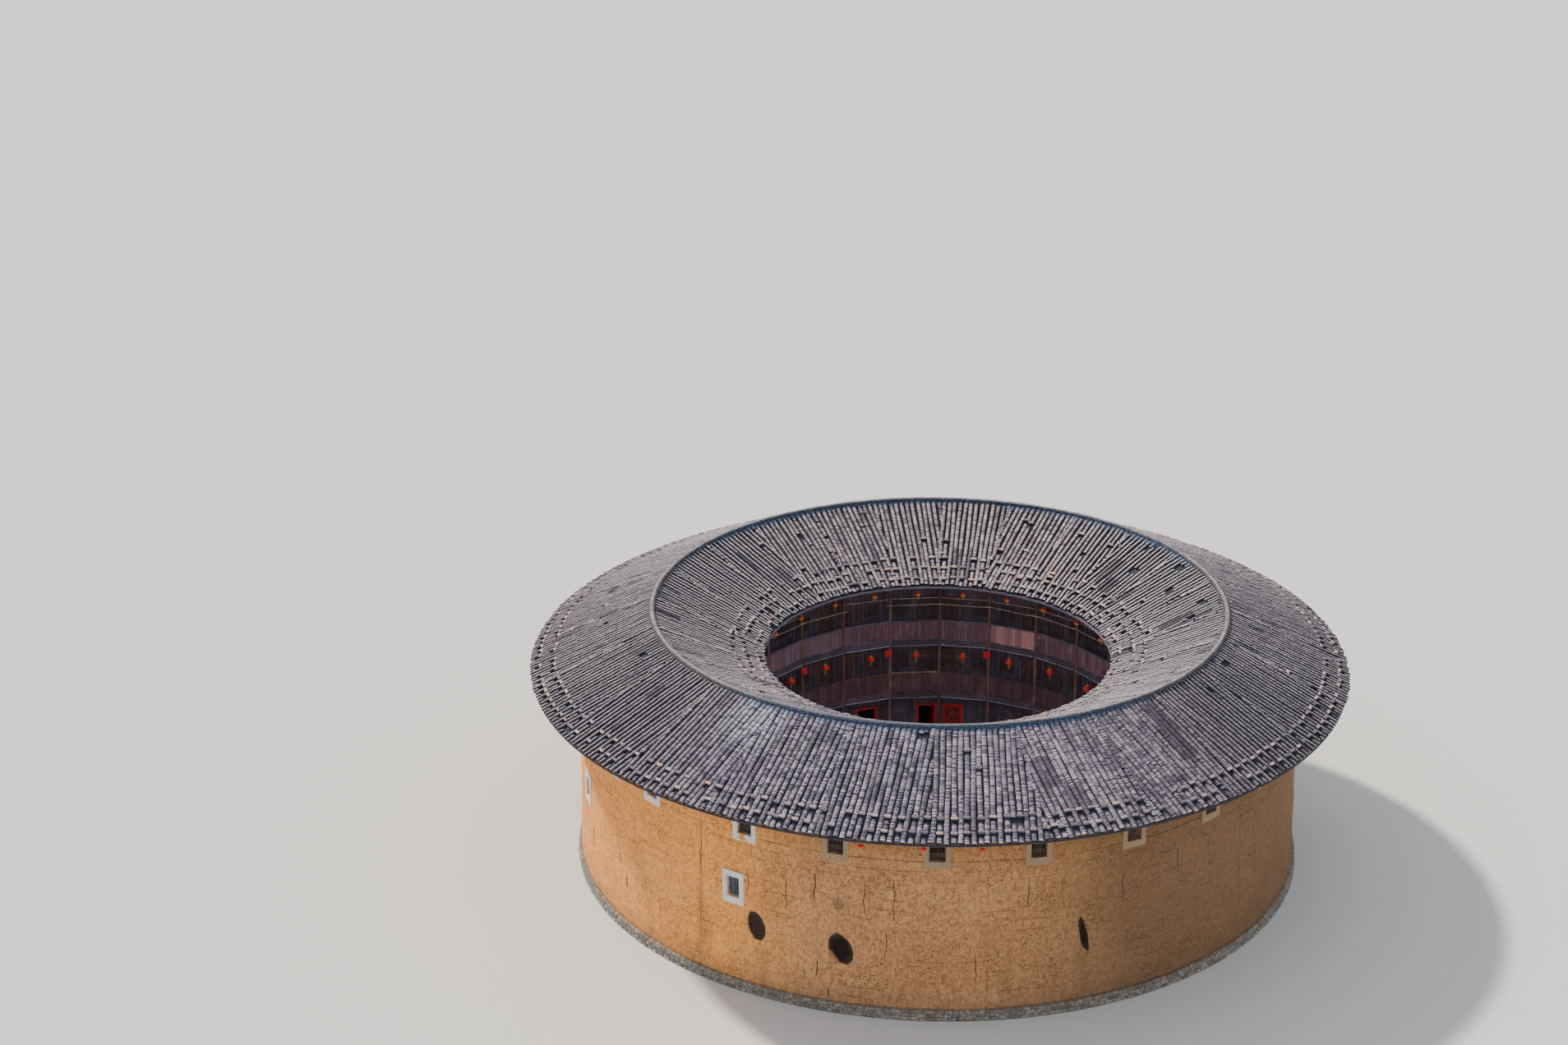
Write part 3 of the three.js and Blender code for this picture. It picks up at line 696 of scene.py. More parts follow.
boards = Finish("floor_boards", 0.8, "dark_timber")
along, radius, height = boards.round_house()
board_gap = 1 - (radius / 0.21).math("FRACT").within(0.0, 0.05, 0.95, 1.0)
plank = (radius / 0.21).math("FLOOR")
plank_place = plank.node("CombineXYZ", {}, {0: plank * 7.3, 1: along * 0.12})
plank_tone = plank_place.cloud(1.0, 1.0)
fibre = plank.node("CombineXYZ", {}, {0: radius * 30.0, 1: along * 1.2, 2: height}).cloud(1.0, 5.0, 0.6)
boards.set("Base Color", plank_tone.above(0.3, 0.7).blend((0.095, 0.062, 0.045), (0.19, 0.13, 0.095)))
boards.coat(fibre.above(0.45, 0.7) * 0.6, (0.055, 0.038, 0.03))
boards.coat(board_gap * 0.9, (0.01, 0.008, 0.007))
boards.bump(fibre * 0.3 - board_gap, 0.01)
for name in ("second_floor", "third_floor"):
    dress(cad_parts[name], boards)


# Gallery. Round posts on drum stones, one to a bay, run from the ground to the roof. Between
# them an edge beam carries each floor, with a board railing on it and a thin drip board
# nailed under it.

POST_RADIUS = 9.05
BEAM_LINE = POST_RADIUS * HALF_BAY_COS
STOREYS = {"second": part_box("second_floor")[1].z, "third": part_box("third_floor")[1].z}
TIE_BOTTOM = 8.7
BEAM_DEPTH = 0.27
RAILING_TOP = 1.02
BAY_CLEAR = 2 * POST_RADIUS * math.sin(math.radians(BAY / 2)) - 0.16

post_wood = wood_finish("post_wood", (0.370, 0.180, 0.155), (0.160, 0.078, 0.072), 0.75, "gallery_timber")
rail_wood = wood_finish("rail_wood", (0.360, 0.190, 0.225), (0.150, 0.074, 0.094), 0.8, "gallery_timber")
old_rail_wood = wood_finish(
    "old_rail_wood", (0.255, 0.120, 0.140), (0.110, 0.052, 0.064), 0.8, "gallery_timber")
rail_x, rail_y = rail_wood.place.part(0), rail_wood.place.part(1)
rail_tint = rail_wood.attribute("tint")
# Painted light: the third storey's railing boards on the left are lightened, board by board.
lit_left_rails = (1 - rail_x.above(-7.0, -2.5)) * rail_tint.above(0.1, 0.8)
rail_wood.coat(lit_left_rails * 0.35, (0.50, 0.38, 0.47))
# Painted sunlight: the railing boards of one bay at the back right are painted pale pink, board by board.
sunlit_bay = rail_x.within(2.38, 2.40, 4.58, 4.60) * rail_y.above(7.0, 7.1)
sunlit_bay = sunlit_bay * (rail_tint.above(0.0, 0.8) * 0.6 + 0.3)
rail_wood.coat(sunlit_bay * 0.9, (0.78, 0.36, 0.32))
# Painted shade: the second storey's railing is darkened towards the right.
old_rail_wood.coat(old_rail_wood.place.part(0).above(1.0, 5.0) * 0.35, (0.050, 0.030, 0.040))
beam_wood = wood_finish("beam_wood", (0.27, 0.225, 0.30), (0.115, 0.095, 0.135), 0.8, "gallery_timber", 0)
old_beam_wood = wood_finish(
    "old_beam_wood", (0.20, 0.135, 0.165), (0.085, 0.056, 0.072), 0.8, "gallery_timber", 0)
drip_wood = wood_finish("drip_wood", (0.46, 0.46, 0.64), (0.25, 0.25, 0.38), 0.8, "gallery_timber", 0)

DRUM_RISE = 0.17
POST_SIDES = 20
post_depth = TIE_BOTTOM - PLATFORM_TOP - DRUM_RISE - 0.002
bpy.ops.mesh.primitive_cylinder_add(vertices=POST_SIDES, radius=0.088, depth=post_depth)
post_model = take("post")
start_edit(post_model)
bpy.ops.mesh.bisect(plane_co=(0, 0, 0), plane_no=(0, 0, 1))
pick_faces(post_model, lambda centre, normal: normal.z > 0.9)
bpy.ops.transform.resize(value=(0.86, 0.86, 1))
end_edit(post_model)
bpy.ops.mesh.primitive_cylinder_add(vertices=POST_SIDES, radius=0.125, depth=DRUM_RISE)
drum_model = take("drum")
start_edit(drum_model)
pick_faces(drum_model, lambda centre, normal: abs(normal.z) > 0.9)
bpy.ops.transform.resize(value=(0.84, 0.84, 1))
bpy.ops.mesh.bevel(offset=0.015, segments=2, affect="EDGES")
end_edit(drum_model)
post_middle = (TIE_BOTTOM + PLATFORM_TOP + DRUM_RISE) / 2
drum_middle = PLATFORM_TOP + DRUM_RISE / 2
post_places = [around(post_azimuth(k), POST_RADIUS, post_middle) for k in range(BAYS)]
drum_places = [around(post_azimuth(k), POST_RADIUS, drum_middle) for k in range(BAYS)]
posts = set_up("gallery_posts", post_model, post_places, post_wood, degrees=40)
set_up("post_drums", drum_model, drum_places, stone, degrees=40)
for number in range(1, 7):
    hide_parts(f"gallery_frame_{number}")

BOARDS_IN_BAY = 14
board_pitch = BAY_CLEAR / BOARDS_IN_BAY
raised = (RAILING_TOP - 0.07 + 0.06) / 2
chance = np.random.default_rng(11)
for storey, level in STOREYS.items():
    middles = [around(bay_azimuth(k), BEAM_LINE, level) for k in range(BAYS)]
    joist_lines = [around(bay_azimuth(k), 9.42, level - 0.19) for k in range(BAYS)]
    board_places = [
        place @ Matrix.Translation((
            board_pitch * (k + 0.5) - BAY_CLEAR / 2, 0.018 + chance.uniform(-0.003, 0.003), raised))
        @ Matrix.Rotation(math.radians(chance.uniform(-0.35, 0.35)), 4, "Y")
        for place in middles for k in range(BOARDS_IN_BAY)
    ]
    stud_shifts = [(BAY_CLEAR * share, -0.022, raised) for share in (-0.485, -0.16, 0.16, 0.485)]
    joist_shifts = [(BAY_CLEAR * share, 0, 0) for share in (-0.33, 0.0, 0.33)]
    rails, railing = (beam_wood, rail_wood) if storey == "third" else (old_rail_wood, old_rail_wood)
    for label, size, bevel, places, finish in (
        ("edge_beams", (BAY_CLEAR + 0.01, 0.185, BEAM_DEPTH), 0.012,
         shifted(middles, (0, 0, -BEAM_DEPTH / 2)), old_beam_wood),
        ("drip_boards", (BAY_CLEAR, 0.05, 0.045), 0.006,
         shifted(middles, (0, 0.118, -BEAM_DEPTH + 0.03)), drip_wood),
        ("top_rails", (BAY_CLEAR, 0.12, 0.07), 0.014,
         shifted(middles, (0, 0, RAILING_TOP - 0.035)), rails),
        ("foot_rails", (BAY_CLEAR, 0.09, 0.06), 0.01, shifted(middles, (0, 0, 0.03)), rails),
        ("railing_boards", (board_pitch - 0.006, 0.024, RAILING_TOP - 0.13), 0.004,
         board_places, railing),
        ("railing_studs", (0.07, 0.05, RAILING_TOP - 0.13), 0.006,
         shifted(middles, *stud_shifts), railing),
        ("gallery_joists", (0.10, 0.62, 0.13), 0.01, shifted(joist_lines, *joist_shifts), post_wood),
    ):
        set_up(f"{storey}_{label}", timber(label, size, bevel), places, finish)


# Room fronts. Dark board walls between the galleries and the rooms, a door to each room and a
# barred window to each room of the upper storeys. On the ground floor close upright slats are
# nailed over the boards.

FRONT_IN = 9.766
DOOR_OFFSET = 0.636
DOOR_WIDTH = 0.8
DOOR_HEIGHT = 1.82
GATE_BAY = 17
RED_DOOR_BAYS = {11: (0.601, 0.99), 12: (-0.679, 1.01), 13: (-0.290, 1.13)}
FRONTS = {
    "ground": (PLATFORM_TOP, STOREYS["second"] - 0.12),
    "second": (STOREYS["second"], STOREYS["third"] - 0.12),
    "third": (STOREYS["third"], TIE_BOTTOM),
}
front_wood = wood_finish("front_wood", (0.235, 0.180, 0.230), (0.098, 0.075, 0.102), 0.85, "dark_timber")
slat_wood = wood_finish("slat_wood", (0.250, 0.195, 0.245), (0.104, 0.082, 0.110), 0.85, "dark_timber")
door_wood = wood_finish("door_wood", (0.280, 0.165, 0.165), (0.120, 0.070, 0.074), 0.8, "dark_timber")


def door_side(bay):
    return -DOOR_OFFSET if bay % 2 == 0 else DOOR_OFFSET


def is_free(storey, bay, x, half_width):
    """Whether a batten or window at x clears the doorways of a bay."""
    if storey == "ground" and bay == GATE_BAY:
        return abs(x) > 1.0 + half_width
    if storey == "ground" and bay in RED_DOOR_BAYS:
        middle, width = RED_DOOR_BAYS[bay]
    else:
        middle, width = door_side(bay), DOOR_WIDTH + 0.14
    return abs(x - middle) > width / 2 + half_width


front_half = FRONT_IN * math.tan(math.radians(BAY / 2))
for storey, (low, high) in FRONTS.items():
    for number in range(1, 5):
        dress(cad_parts[f"{storey}_room_front_{number}"], front_wood)
    pitch = 0.15 if storey == "ground" else 0.23
    count = int(2 * front_half / pitch)
    battens, rails, doors, windows = [], [], [], []
    for bay in range(BAYS):
        place = around(bay_azimuth(bay), FRONT_IN)
        steps = [(k + 0.5) * pitch - count * pitch / 2 for k in range(count)]
        free = [(x, 0.017, (low + high) / 2) for x in steps if is_free(storey, bay, x, 0.03)]
        battens += shifted([place], *free)
        rails += shifted([place], (0, 0.024, high - 0.06))
        if storey != "ground":
            windows += shifted([place], (-0.9 * door_side(bay), 0.02, low + 1.35))
        if storey != "ground" or bay not in (GATE_BAY, *RED_DOOR_BAYS):
            doors += shifted([place], (door_side(bay), -0.03, low + DOOR_HEIGHT / 2))
    jamb_x = DOOR_WIDTH / 2 + 0.036
    plank_shifts = [(DOOR_WIDTH / 4 * (k - 1.5), 0, 0) for k in range(4)]
    ledge_shifts = [(0, 0.026, z) for z in (-0.6, 0.0, 0.6)]
    bar_shifts = [(0.0725 * (k - 3.5), 0.024, 0) for k in range(8)]
    for label, size, bevel, places, finish in (
        ("battens", (0.045, 0.03, high - low - 0.24), 0.004, battens, slat_wood),
        ("front_rails", (2 * front_half - 0.03, 0.045, 0.12), 0.008, rails, front_wood),
        ("door_boards", (DOOR_WIDTH / 4 - 0.006, 0.03, DOOR_HEIGHT - 0.02), 0.004,
         shifted(doors, *plank_shifts), door_wood),
        ("door_ledges", (DOOR_WIDTH - 0.12, 0.025, 0.09), 0.005,
         shifted(doors, *ledge_shifts), door_wood),
        ("door_jambs", (0.07, 0.10, DOOR_HEIGHT + 0.07), 0.006,
         shifted(doors, (-jamb_x, 0.02, 0.035), (jamb_x, 0.02, 0.035)), post_wood),
        ("door_lintels", (DOOR_WIDTH + 0.2, 0.11, 0.09), 0.006,
         shifted(doors, (0, 0.02, DOOR_HEIGHT / 2 + 0.05)), post_wood),
        ("room_window_bars", (0.024, 0.024, 0.62), 0.004, shifted(windows, *bar_shifts), door_wood),
        ("room_window_crosses", (0.58, 0.018, 0.022), 0.003,
         shifted(windows, (0, 0.024, -0.16), (0, 0.024, 0.16)), door_wood),
    ):
        if places:
            set_up(f"{storey}_{label}", timber(label, size, bevel), places, finish)
    if windows:
        sash = window_ring("sash", 0.58, 0.62, 0.055, 0.0, 0.05, 0.005)
        set_up(f"{storey}_room_windows", sash, windows, post_wood)


# Doors. Three red frames face the court from the back rooms. The middle leaf stands open and
# the right one is shut; each is of planks, with two raised panels, hung on wooden pins.

FRAME_FACE = FRONT_IN + 0.035 - 0.065
LEAF_LINE = FRAME_FACE + 0.13 + 0.005 + 0.020
LEAF_BOTTOM = 0.225
LEAF_TOP = 1.95
LEAF_OPEN = math.radians(80)

red_paint = Finish("red_paint", 0.55, "red_timber")
fade = red_paint.place.cloud(2.6, 5.0, 0.6)
flakes = red_paint.place.cloud(26.0, 5.0, 0.65)
brush = red_paint.place.stretch(60, 60, 2.5).cloud(1.0, 4.0)
red_paint.set("Base Color", fade.above(0.3, 0.7).blend((0.66, 0.026, 0.026), (0.86, 0.045, 0.040)))
red_paint.coat(brush.above(0.5, 0.75) * 0.35, (0.42, 0.018, 0.020))
red_paint.coat(flakes.above(0.64, 0.70) * 0.85, (0.10, 0.055, 0.04))
red_paint.bump(brush * 0.5 - flakes.above(0.64, 0.70), 0.004)
leaf_paint = Finish("leaf_paint", 0.6, "red_timber")
leaf_fade = leaf_paint.place.cloud(5.0, 6.0, 0.65)
leaf_grain = leaf_paint.place.stretch(60, 60, 2.5).cloud(1.0, 4.0)
leaf_paint.set("Base Color", leaf_fade.above(0.35, 0.65).blend((0.17, 0.030, 0.026), (0.50, 0.060, 0.042)))
leaf_paint.coat(leaf_grain.above(0.5, 0.7) * 0.5, (0.09, 0.035, 0.03))
leaf_paint.bump(leaf_grain, 0.004)
for name in ("left_door_frame", "middle_door_frame", "right_door_frame"):
    dress(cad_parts[name], red_paint)
for name in ("middle_door_leaf", "right_door_leaf"):
    dress(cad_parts[name], leaf_paint)


def leaf_panels(body, bay, x, width, side, opened):
    """Two raised panels with mouldings on the face of a leaf that looks to the court."""
    leaf_width = width - 0.26 + 0.06
    pivot = side * leaf_width / 2
    across = leaf_width - 0.20
    hinge = around(bay_azimuth(bay), LEAF_LINE) @ Matrix.Translation((x + pivot, 0, 0))
    leaf = hinge @ Matrix.Rotation(side * opened, 4, "Z") @ Matrix.Translation((-pivot, 0.021, 0))
    for part, rise, level in (
        ("low", 0.56, LEAF_BOTTOM + 0.12 + 0.28), ("high", 0.74, LEAF_TOP - 0.12 - 0.37),
    ):
        place = shifted([leaf], (0, 0, level))
        moulding = window_ring(part, across, rise, 0.035, 0.0, 0.016, 0.005)
        panel = timber(part, (across - 0.07, 0.014, rise - 0.07), 0.006)
        set_up(f"{body}_{part}_moulding", moulding, place, red_paint, body=body)
        set_up(f"{body}_{part}_panel", panel, place, leaf_paint, body=body)


leaf_panels("middle_leaf", 12, *RED_DOOR_BAYS[12], -1, LEAF_OPEN)
leaf_panels("right_leaf", 11, *RED_DOOR_BAYS[11], 1, 0.0)


# Roof frame. Tie beams run right through the head of the wall, with a king post on each and
# straight purlins from beam to beam; these are CAD pieces. Peeled poles laid on the purlins
# are the rafters, and thin boards on them carry the tiles.

OUTER_EAVE = Vector((18.0, 9.0))
INNER_EAVE = Vector((7.63, 9.08))
RIDGE = Vector((12.58, 11.45))
OUTER_FALL = (RIDGE.y - OUTER_EAVE.y) / (OUTER_EAVE.x - RIDGE.x)
INNER_FALL = (RIDGE.y - INNER_EAVE.y) / (RIDGE.x - INNER_EAVE.x)
BOARD_DEPTH = 0.055
RAFTER_DEPTH = 0.14

roof_wood = wood_finish("roof_wood", (0.135, 0.090, 0.065), (0.050, 0.033, 0.026), 0.85, "dark_timber")
for number in range(1, 5):
    dress(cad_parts[f"roof_frame_{number}"], roof_wood)


def roof_height(radius, outer):
    if outer:
        return OUTER_EAVE.y + (OUTER_EAVE.x - radius) * OUTER_FALL
    return INNER_EAVE.y + (radius - INNER_EAVE.x) * INNER_FALL


def slope_side(outer):
    """The radius at the eave and at the ridge of one slope."""
    return (OUTER_EAVE.x, RIDGE.x) if outer else (INNER_EAVE.x, RIDGE.x)


def lay_rafters(name, outer, count):
    """Round-edged poles down one slope, thinner and lifted a little at their tails."""
    eave, ridge = slope_side(outer)
    sign = 1 if outer else -1
    tail = eave + (-0.17 if outer else 0.09)
    head = ridge + 0.10 * sign
    rise = roof_height(head, outer) - roof_height(tail, outer)
    run = abs(head - tail)
    slope = math.atan2(rise, run)
    pole = timber("pole", (0.10, math.hypot(run, rise), RAFTER_DEPTH), 0.03)
    start_edit(pole)
    pick_faces(pole, lambda centre, normal: normal.y * sign < -0.9)
    bpy.ops.transform.resize(value=(0.9, 1, 0.62))
    bpy.ops.transform.translate(value=(0, 0, 0.022))
    end_edit(pole)
    middle = (head + tail) / 2
    level = roof_height(middle, outer) - BOARD_DEPTH - 0.03 - RAFTER_DEPTH / 2 / math.cos(slope)
    pitch = Matrix.Rotation(slope * sign, 4, "X")
    places = [around(360 / count * k, middle, level) @ pitch for k in range(count)]
    set_up(name, pole, places, roof_wood, degrees=40)


lay_rafters("outer_rafters", True, 240)
lay_rafters("inner_rafters", False, 120)

SHELL_SIDES = 144
BOARD_THICKNESS = 0.03
FASCIA_THICKNESS = 0.028
# Painted shade: the boards are near-black blue, for the shaded channels seen between the tile rows and
# where tiles are missing.
under_tiles = Finish("roof_boards", 0.9, "roof_tile")
shade_mottle = under_tiles.place.cloud(3.0, 5.0, 0.6)
under_tiles.set(
    "Base Color", shade_mottle.above(0.35, 0.65).blend((0.009, 0.013, 0.025), (0.022, 0.028, 0.044)))
under_tiles.bump(shade_mottle, 0.01)


def hoop(name, low_end, high_end, thickness, sides=SHELL_SIDES, inside=False):
    """A thin ring round the axis from one radius and height to another, made solid on its
    far side. Its face looks outwards, or inwards if inside is true."""
    (foot, low), (head, high) = low_end, high_end
    bpy.ops.mesh.primitive_cone_add(
        vertices=sides, radius1=foot, radius2=head, depth=high - low,
        end_fill_type="NOTHING", location=(0, 0, (low + high) / 2))
    piece = take(name)
    if inside:
        start_edit(piece)
        bpy.ops.mesh.flip_normals()
        end_edit(piece)
    solid = piece.modifiers.new("solid", "SOLIDIFY")
    solid.thickness = thickness
    solid.offset = -1
    bpy.ops.object.modifier_apply(modifier=solid.name)
    return piece


def roof_shell(name, outer):
    """A cone of boards under one slope, its top a little below the tiles."""
    eave, ridge = slope_side(outer)
    foot = eave + (-0.13 if outer else 0.06)
    low, high = roof_height(foot, outer) - BOARD_DEPTH, roof_height(ridge, outer) - BOARD_DEPTH
    shell = hoop(name, (foot, low), (ridge, high), BOARD_THICKNESS, inside=not outer)
    settle(shell, under_tiles, 30)


def fascia(name, radius, top, deep, finish):
    """A thin board bent round an eave."""
    settle(hoop(name, (radius, top - deep), (radius, top), FASCIA_THICKNESS), finish, 30)


roof_shell("outer_roof_boards", True)
roof_shell("inner_roof_boards", False)
eave_wood = wood_finish("eave_wood", (0.034, 0.030, 0.044), (0.014, 0.012, 0.020), 0.8, "dark_timber", 0)
pale_batten = wood_finish("pale_batten", (0.45, 0.40, 0.36), (0.25, 0.22, 0.20), 0.85, "dark_timber", 0)
fascia("outer_fascia", OUTER_EAVE.x - 0.12, OUTER_EAVE.y - 0.045, 0.10, eave_wood)
fascia("outer_eave_batten", OUTER_EAVE.x - 0.135, OUTER_EAVE.y - 0.135, 0.022, pale_batten)
fascia("inner_fascia", INNER_EAVE.x + 0.05, INNER_EAVE.y - 0.04, 0.11, beam_wood)


# Tiles. Thin grey clay tiles, arched, lie in rows down the slope, each over most of the one
# below, so that only a pale lip and a hand's breadth of it show. The rows run parallel from
# truss to truss, and where two such fields meet, rows start or end in a jumble.

ROW_PITCH = {True: 0.248, False: 0.239}
COURSE = {True: 0.092, False: 0.110}
TILE_WIDTH = 0.234
TILE_RISE = 0.098
TILE_LENGTH = 0.15
LIP = 0.014
FAN = 0.40
MEASURED_TURNS = {
    -68.5: -3.5, -53.5: -3.5, -38.5: -0.5, -23.5: 1.5, -8.5: -3.5, 6.5: -5.5, 21.5: 3.5, 36.5: 4.5,
    51.5: 0.0,
}

tile_clay = Finish("roof_tile", 0.82, "roof_tile")
tint = tile_clay.attribute("tint")
shade = tile_clay.attribute("shade")
down = tile_clay.attribute("down")
side = tile_clay.attribute("side")
wear = (tint * 53.7).math("FRACT")
pale = (tint * 911.3).math("FRACT")
fields = tile_clay.place.cloud(0.42, 4.0, 0.6)
warm_fields = tile_clay.place.cloud(0.17, 3.0, 0.55)
moss = tile_clay.place.cloud(19.0, 5.0, 0.7)
along, radius, height = tile_clay.round_house()
from_front = abs(along)
at_front = 1 - from_front.above(8.0, 15.0)
sunny = (1 - along.above(-12.0, -6.0)) + along.above(24.0, 30.0)
inner_slope = 1 - radius.above(12.5, 12.6)
outer_left = (1 - along.above(-40.0, -27.0)) * (1 - inner_slope)
sunlit_share = sunny * (inner_slope * (along.above(10.0, 18.0) * 0.5 + 0.3) + 0.3) * (1 - outer_left)
right_front = along.within(5.0, 9.0, 17.0, 21.0) * (1 - inner_slope)
lip = (1 - down.above(0.16, 0.38)) * (tint.above(0.25, 0.75) * 0.8 + 0.2) * (1 - shade * 0.8)
lime_x, lime_y = tile_clay.place.part(0) + 7.5, tile_clay.place.part(1) + 11.4
limed = 1 - (lime_x * lime_x + lime_y * lime_y).above(0.3, 2.6)
at_sides = (1 - at_front) * (1 - from_front.above(36.0, 43.0))
at_back = 1 - at_front - at_sides
far_sides = from_front.above(14.0, 22.0)
near_sides = at_sides * (1 - inner_slope) * (1 - far_sides * 0.7)
crest = at_sides * (1 - side.above(0.02, 0.30)) * (1 - shade)
gap = at_front * side.above(0.70, 0.96) + at_sides * side.above(0.14, 0.46)
gap = gap + at_back * side.above(0.45, 0.78)
row_head = 1 - abs(radius - RIDGE.x).above(0.26, 0.33)
row_head = row_head * tile_clay.place.cloud(0.35, 3.0).above(0.38, 0.52) * 0.75
row_head = row_head * (1 - from_front.within(9.0, 13.0, 29.0, 35.0))
tile_clay.set("Base Color", tint.ramp(
    (0.0, (0.056, 0.044, 0.080)), (0.22, (0.105, 0.084, 0.130)),
    (0.45, (0.180, 0.145, 0.195)), (0.66, (0.280, 0.222, 0.262)),
    (0.82, (0.420, 0.335, 0.350)), (0.90, (0.23, 0.32, 0.39)),
    (0.96, (0.58, 0.58, 0.60)), (1.0, (0.56, 0.33, 0.21))))
tile_clay.coat(fields.above(0.49, 0.60) * 0.6, (0.055, 0.042, 0.074))
tile_clay.coat(warm_fields.above(0.46, 0.62) * 0.35, (0.310, 0.230, 0.235))
# Painted sunlight: tiles on the sunny sides are lightened, tile by tile.
tile_clay.coat(sunlit_share * wear.above(0.0, 0.6) * 0.5, (0.500, 0.370, 0.330))
tile_clay.coat(pale.above(0.50, 1.0) * 0.55, (0.60, 0.51, 0.53))
tile_clay.coat((1 - pale.above(0.0, 0.40)) * 0.62, (0.048, 0.038, 0.066))
tile_clay.coat(at_front * 0.9, (0.46, 0.44, 0.60), "MULTIPLY")
# Painted shade: the outer slope on the right of the front is darkened.
tile_clay.coat(right_front * 0.9, (0.62, 0.58, 0.66), "MULTIPLY")
tile_clay.coat(shade * 0.8, (0.052, 0.040, 0.068))
tile_clay.coat(moss.above(0.55, 0.70) * 0.45, (0.38, 0.34, 0.36))
tile_clay.coat((1 - moss.above(0.30, 0.42)) * 0.5, (0.030, 0.028, 0.048))
tile_clay.coat(lip * (0.72 - sunny * 0.25), (0.76, 0.68, 0.69))
tile_clay.coat(limed * wear.above(0.25, 0.75) * 0.75, (0.50, 0.57, 0.60))
# Painted shadow: a dark line just under each lip.
tile_clay.coat(down.above(0.42, 0.58) * (0.72 - sunny * 0.3), (0.024, 0.020, 0.036))
# Painted highlight: the crowns of the rows on the sides are lightened.
tile_clay.coat(crest * (inner_slope * 0.30 + 0.38), (0.90, 0.80, 0.80))
tile_clay.coat(near_sides, (0.70, 0.69, 0.73), "MULTIPLY")
# The flanks of each row are painted near-black: partly dirt in the channels, partly painted shade on the
# flanks.
tile_clay.coat(gap * 0.95, (0.010, 0.008, 0.017))
tile_clay.coat(row_head, (0.070, 0.115, 0.190))
tile_clay.bump(moss, 0.006, 0.7)


def tile_model():
    """One tile, about the middle of its lip, with +Y down the slope and +Z off the roof."""
    radius = 0.5 * TILE_WIDTH
    bpy.ops.mesh.primitive_cylinder_add(
        vertices=8, radius=radius, depth=TILE_LENGTH, rotation=(math.pi / 2, 0, 0),
        location=(0, -TILE_LENGTH / 2, 0))
    tile = take("tile")
    start_edit(tile)
    bpy.ops.mesh.bisect(plane_co=(0, 0, 0.08 * radius), plane_no=(0, 0, 1), clear_inner=True, use_fill=True)
    bpy.ops.mesh.select_all(action="SELECT")
    bpy.ops.transform.resize(value=(1, 1, TILE_RISE / radius))
    pick_faces(tile, lambda centre, normal: normal.y > 0.9)
    bpy.ops.transform.translate(value=(0, 0, LIP))
    pick_faces(tile, lambda centre, normal: normal.y < -0.9)
    bpy.ops.transform.resize(value=(0.93, 1, 1))
    end_edit(tile)
    mesh = tile.data
    mesh.attributes.new("down", "FLOAT", "CORNER")
    mesh.attributes.new("side", "FLOAT", "CORNER")
    for face in mesh.polygons:
        for loop in face.loop_indices:
            point = mesh.vertices[mesh.loops[loop].vertex_index].co
            up_tile = 0.0 if face.normal.y > 0.7 else min(1.0, -point.y / TILE_LENGTH + 0.02)
            mesh.attributes["down"].data[loop].value = up_tile
            mesh.attributes["side"].data[loop].value = abs(point.x) / radius
    return tile


def field_turn(middle, chance):
    """How far a field's rows are turned from the line of fall at its middle, in degrees."""
    near = round(((middle + 180) % 360) - 180, 1)
    return MEASURED_TURNS.get(near, chance.uniform(-4.5, 4.5))


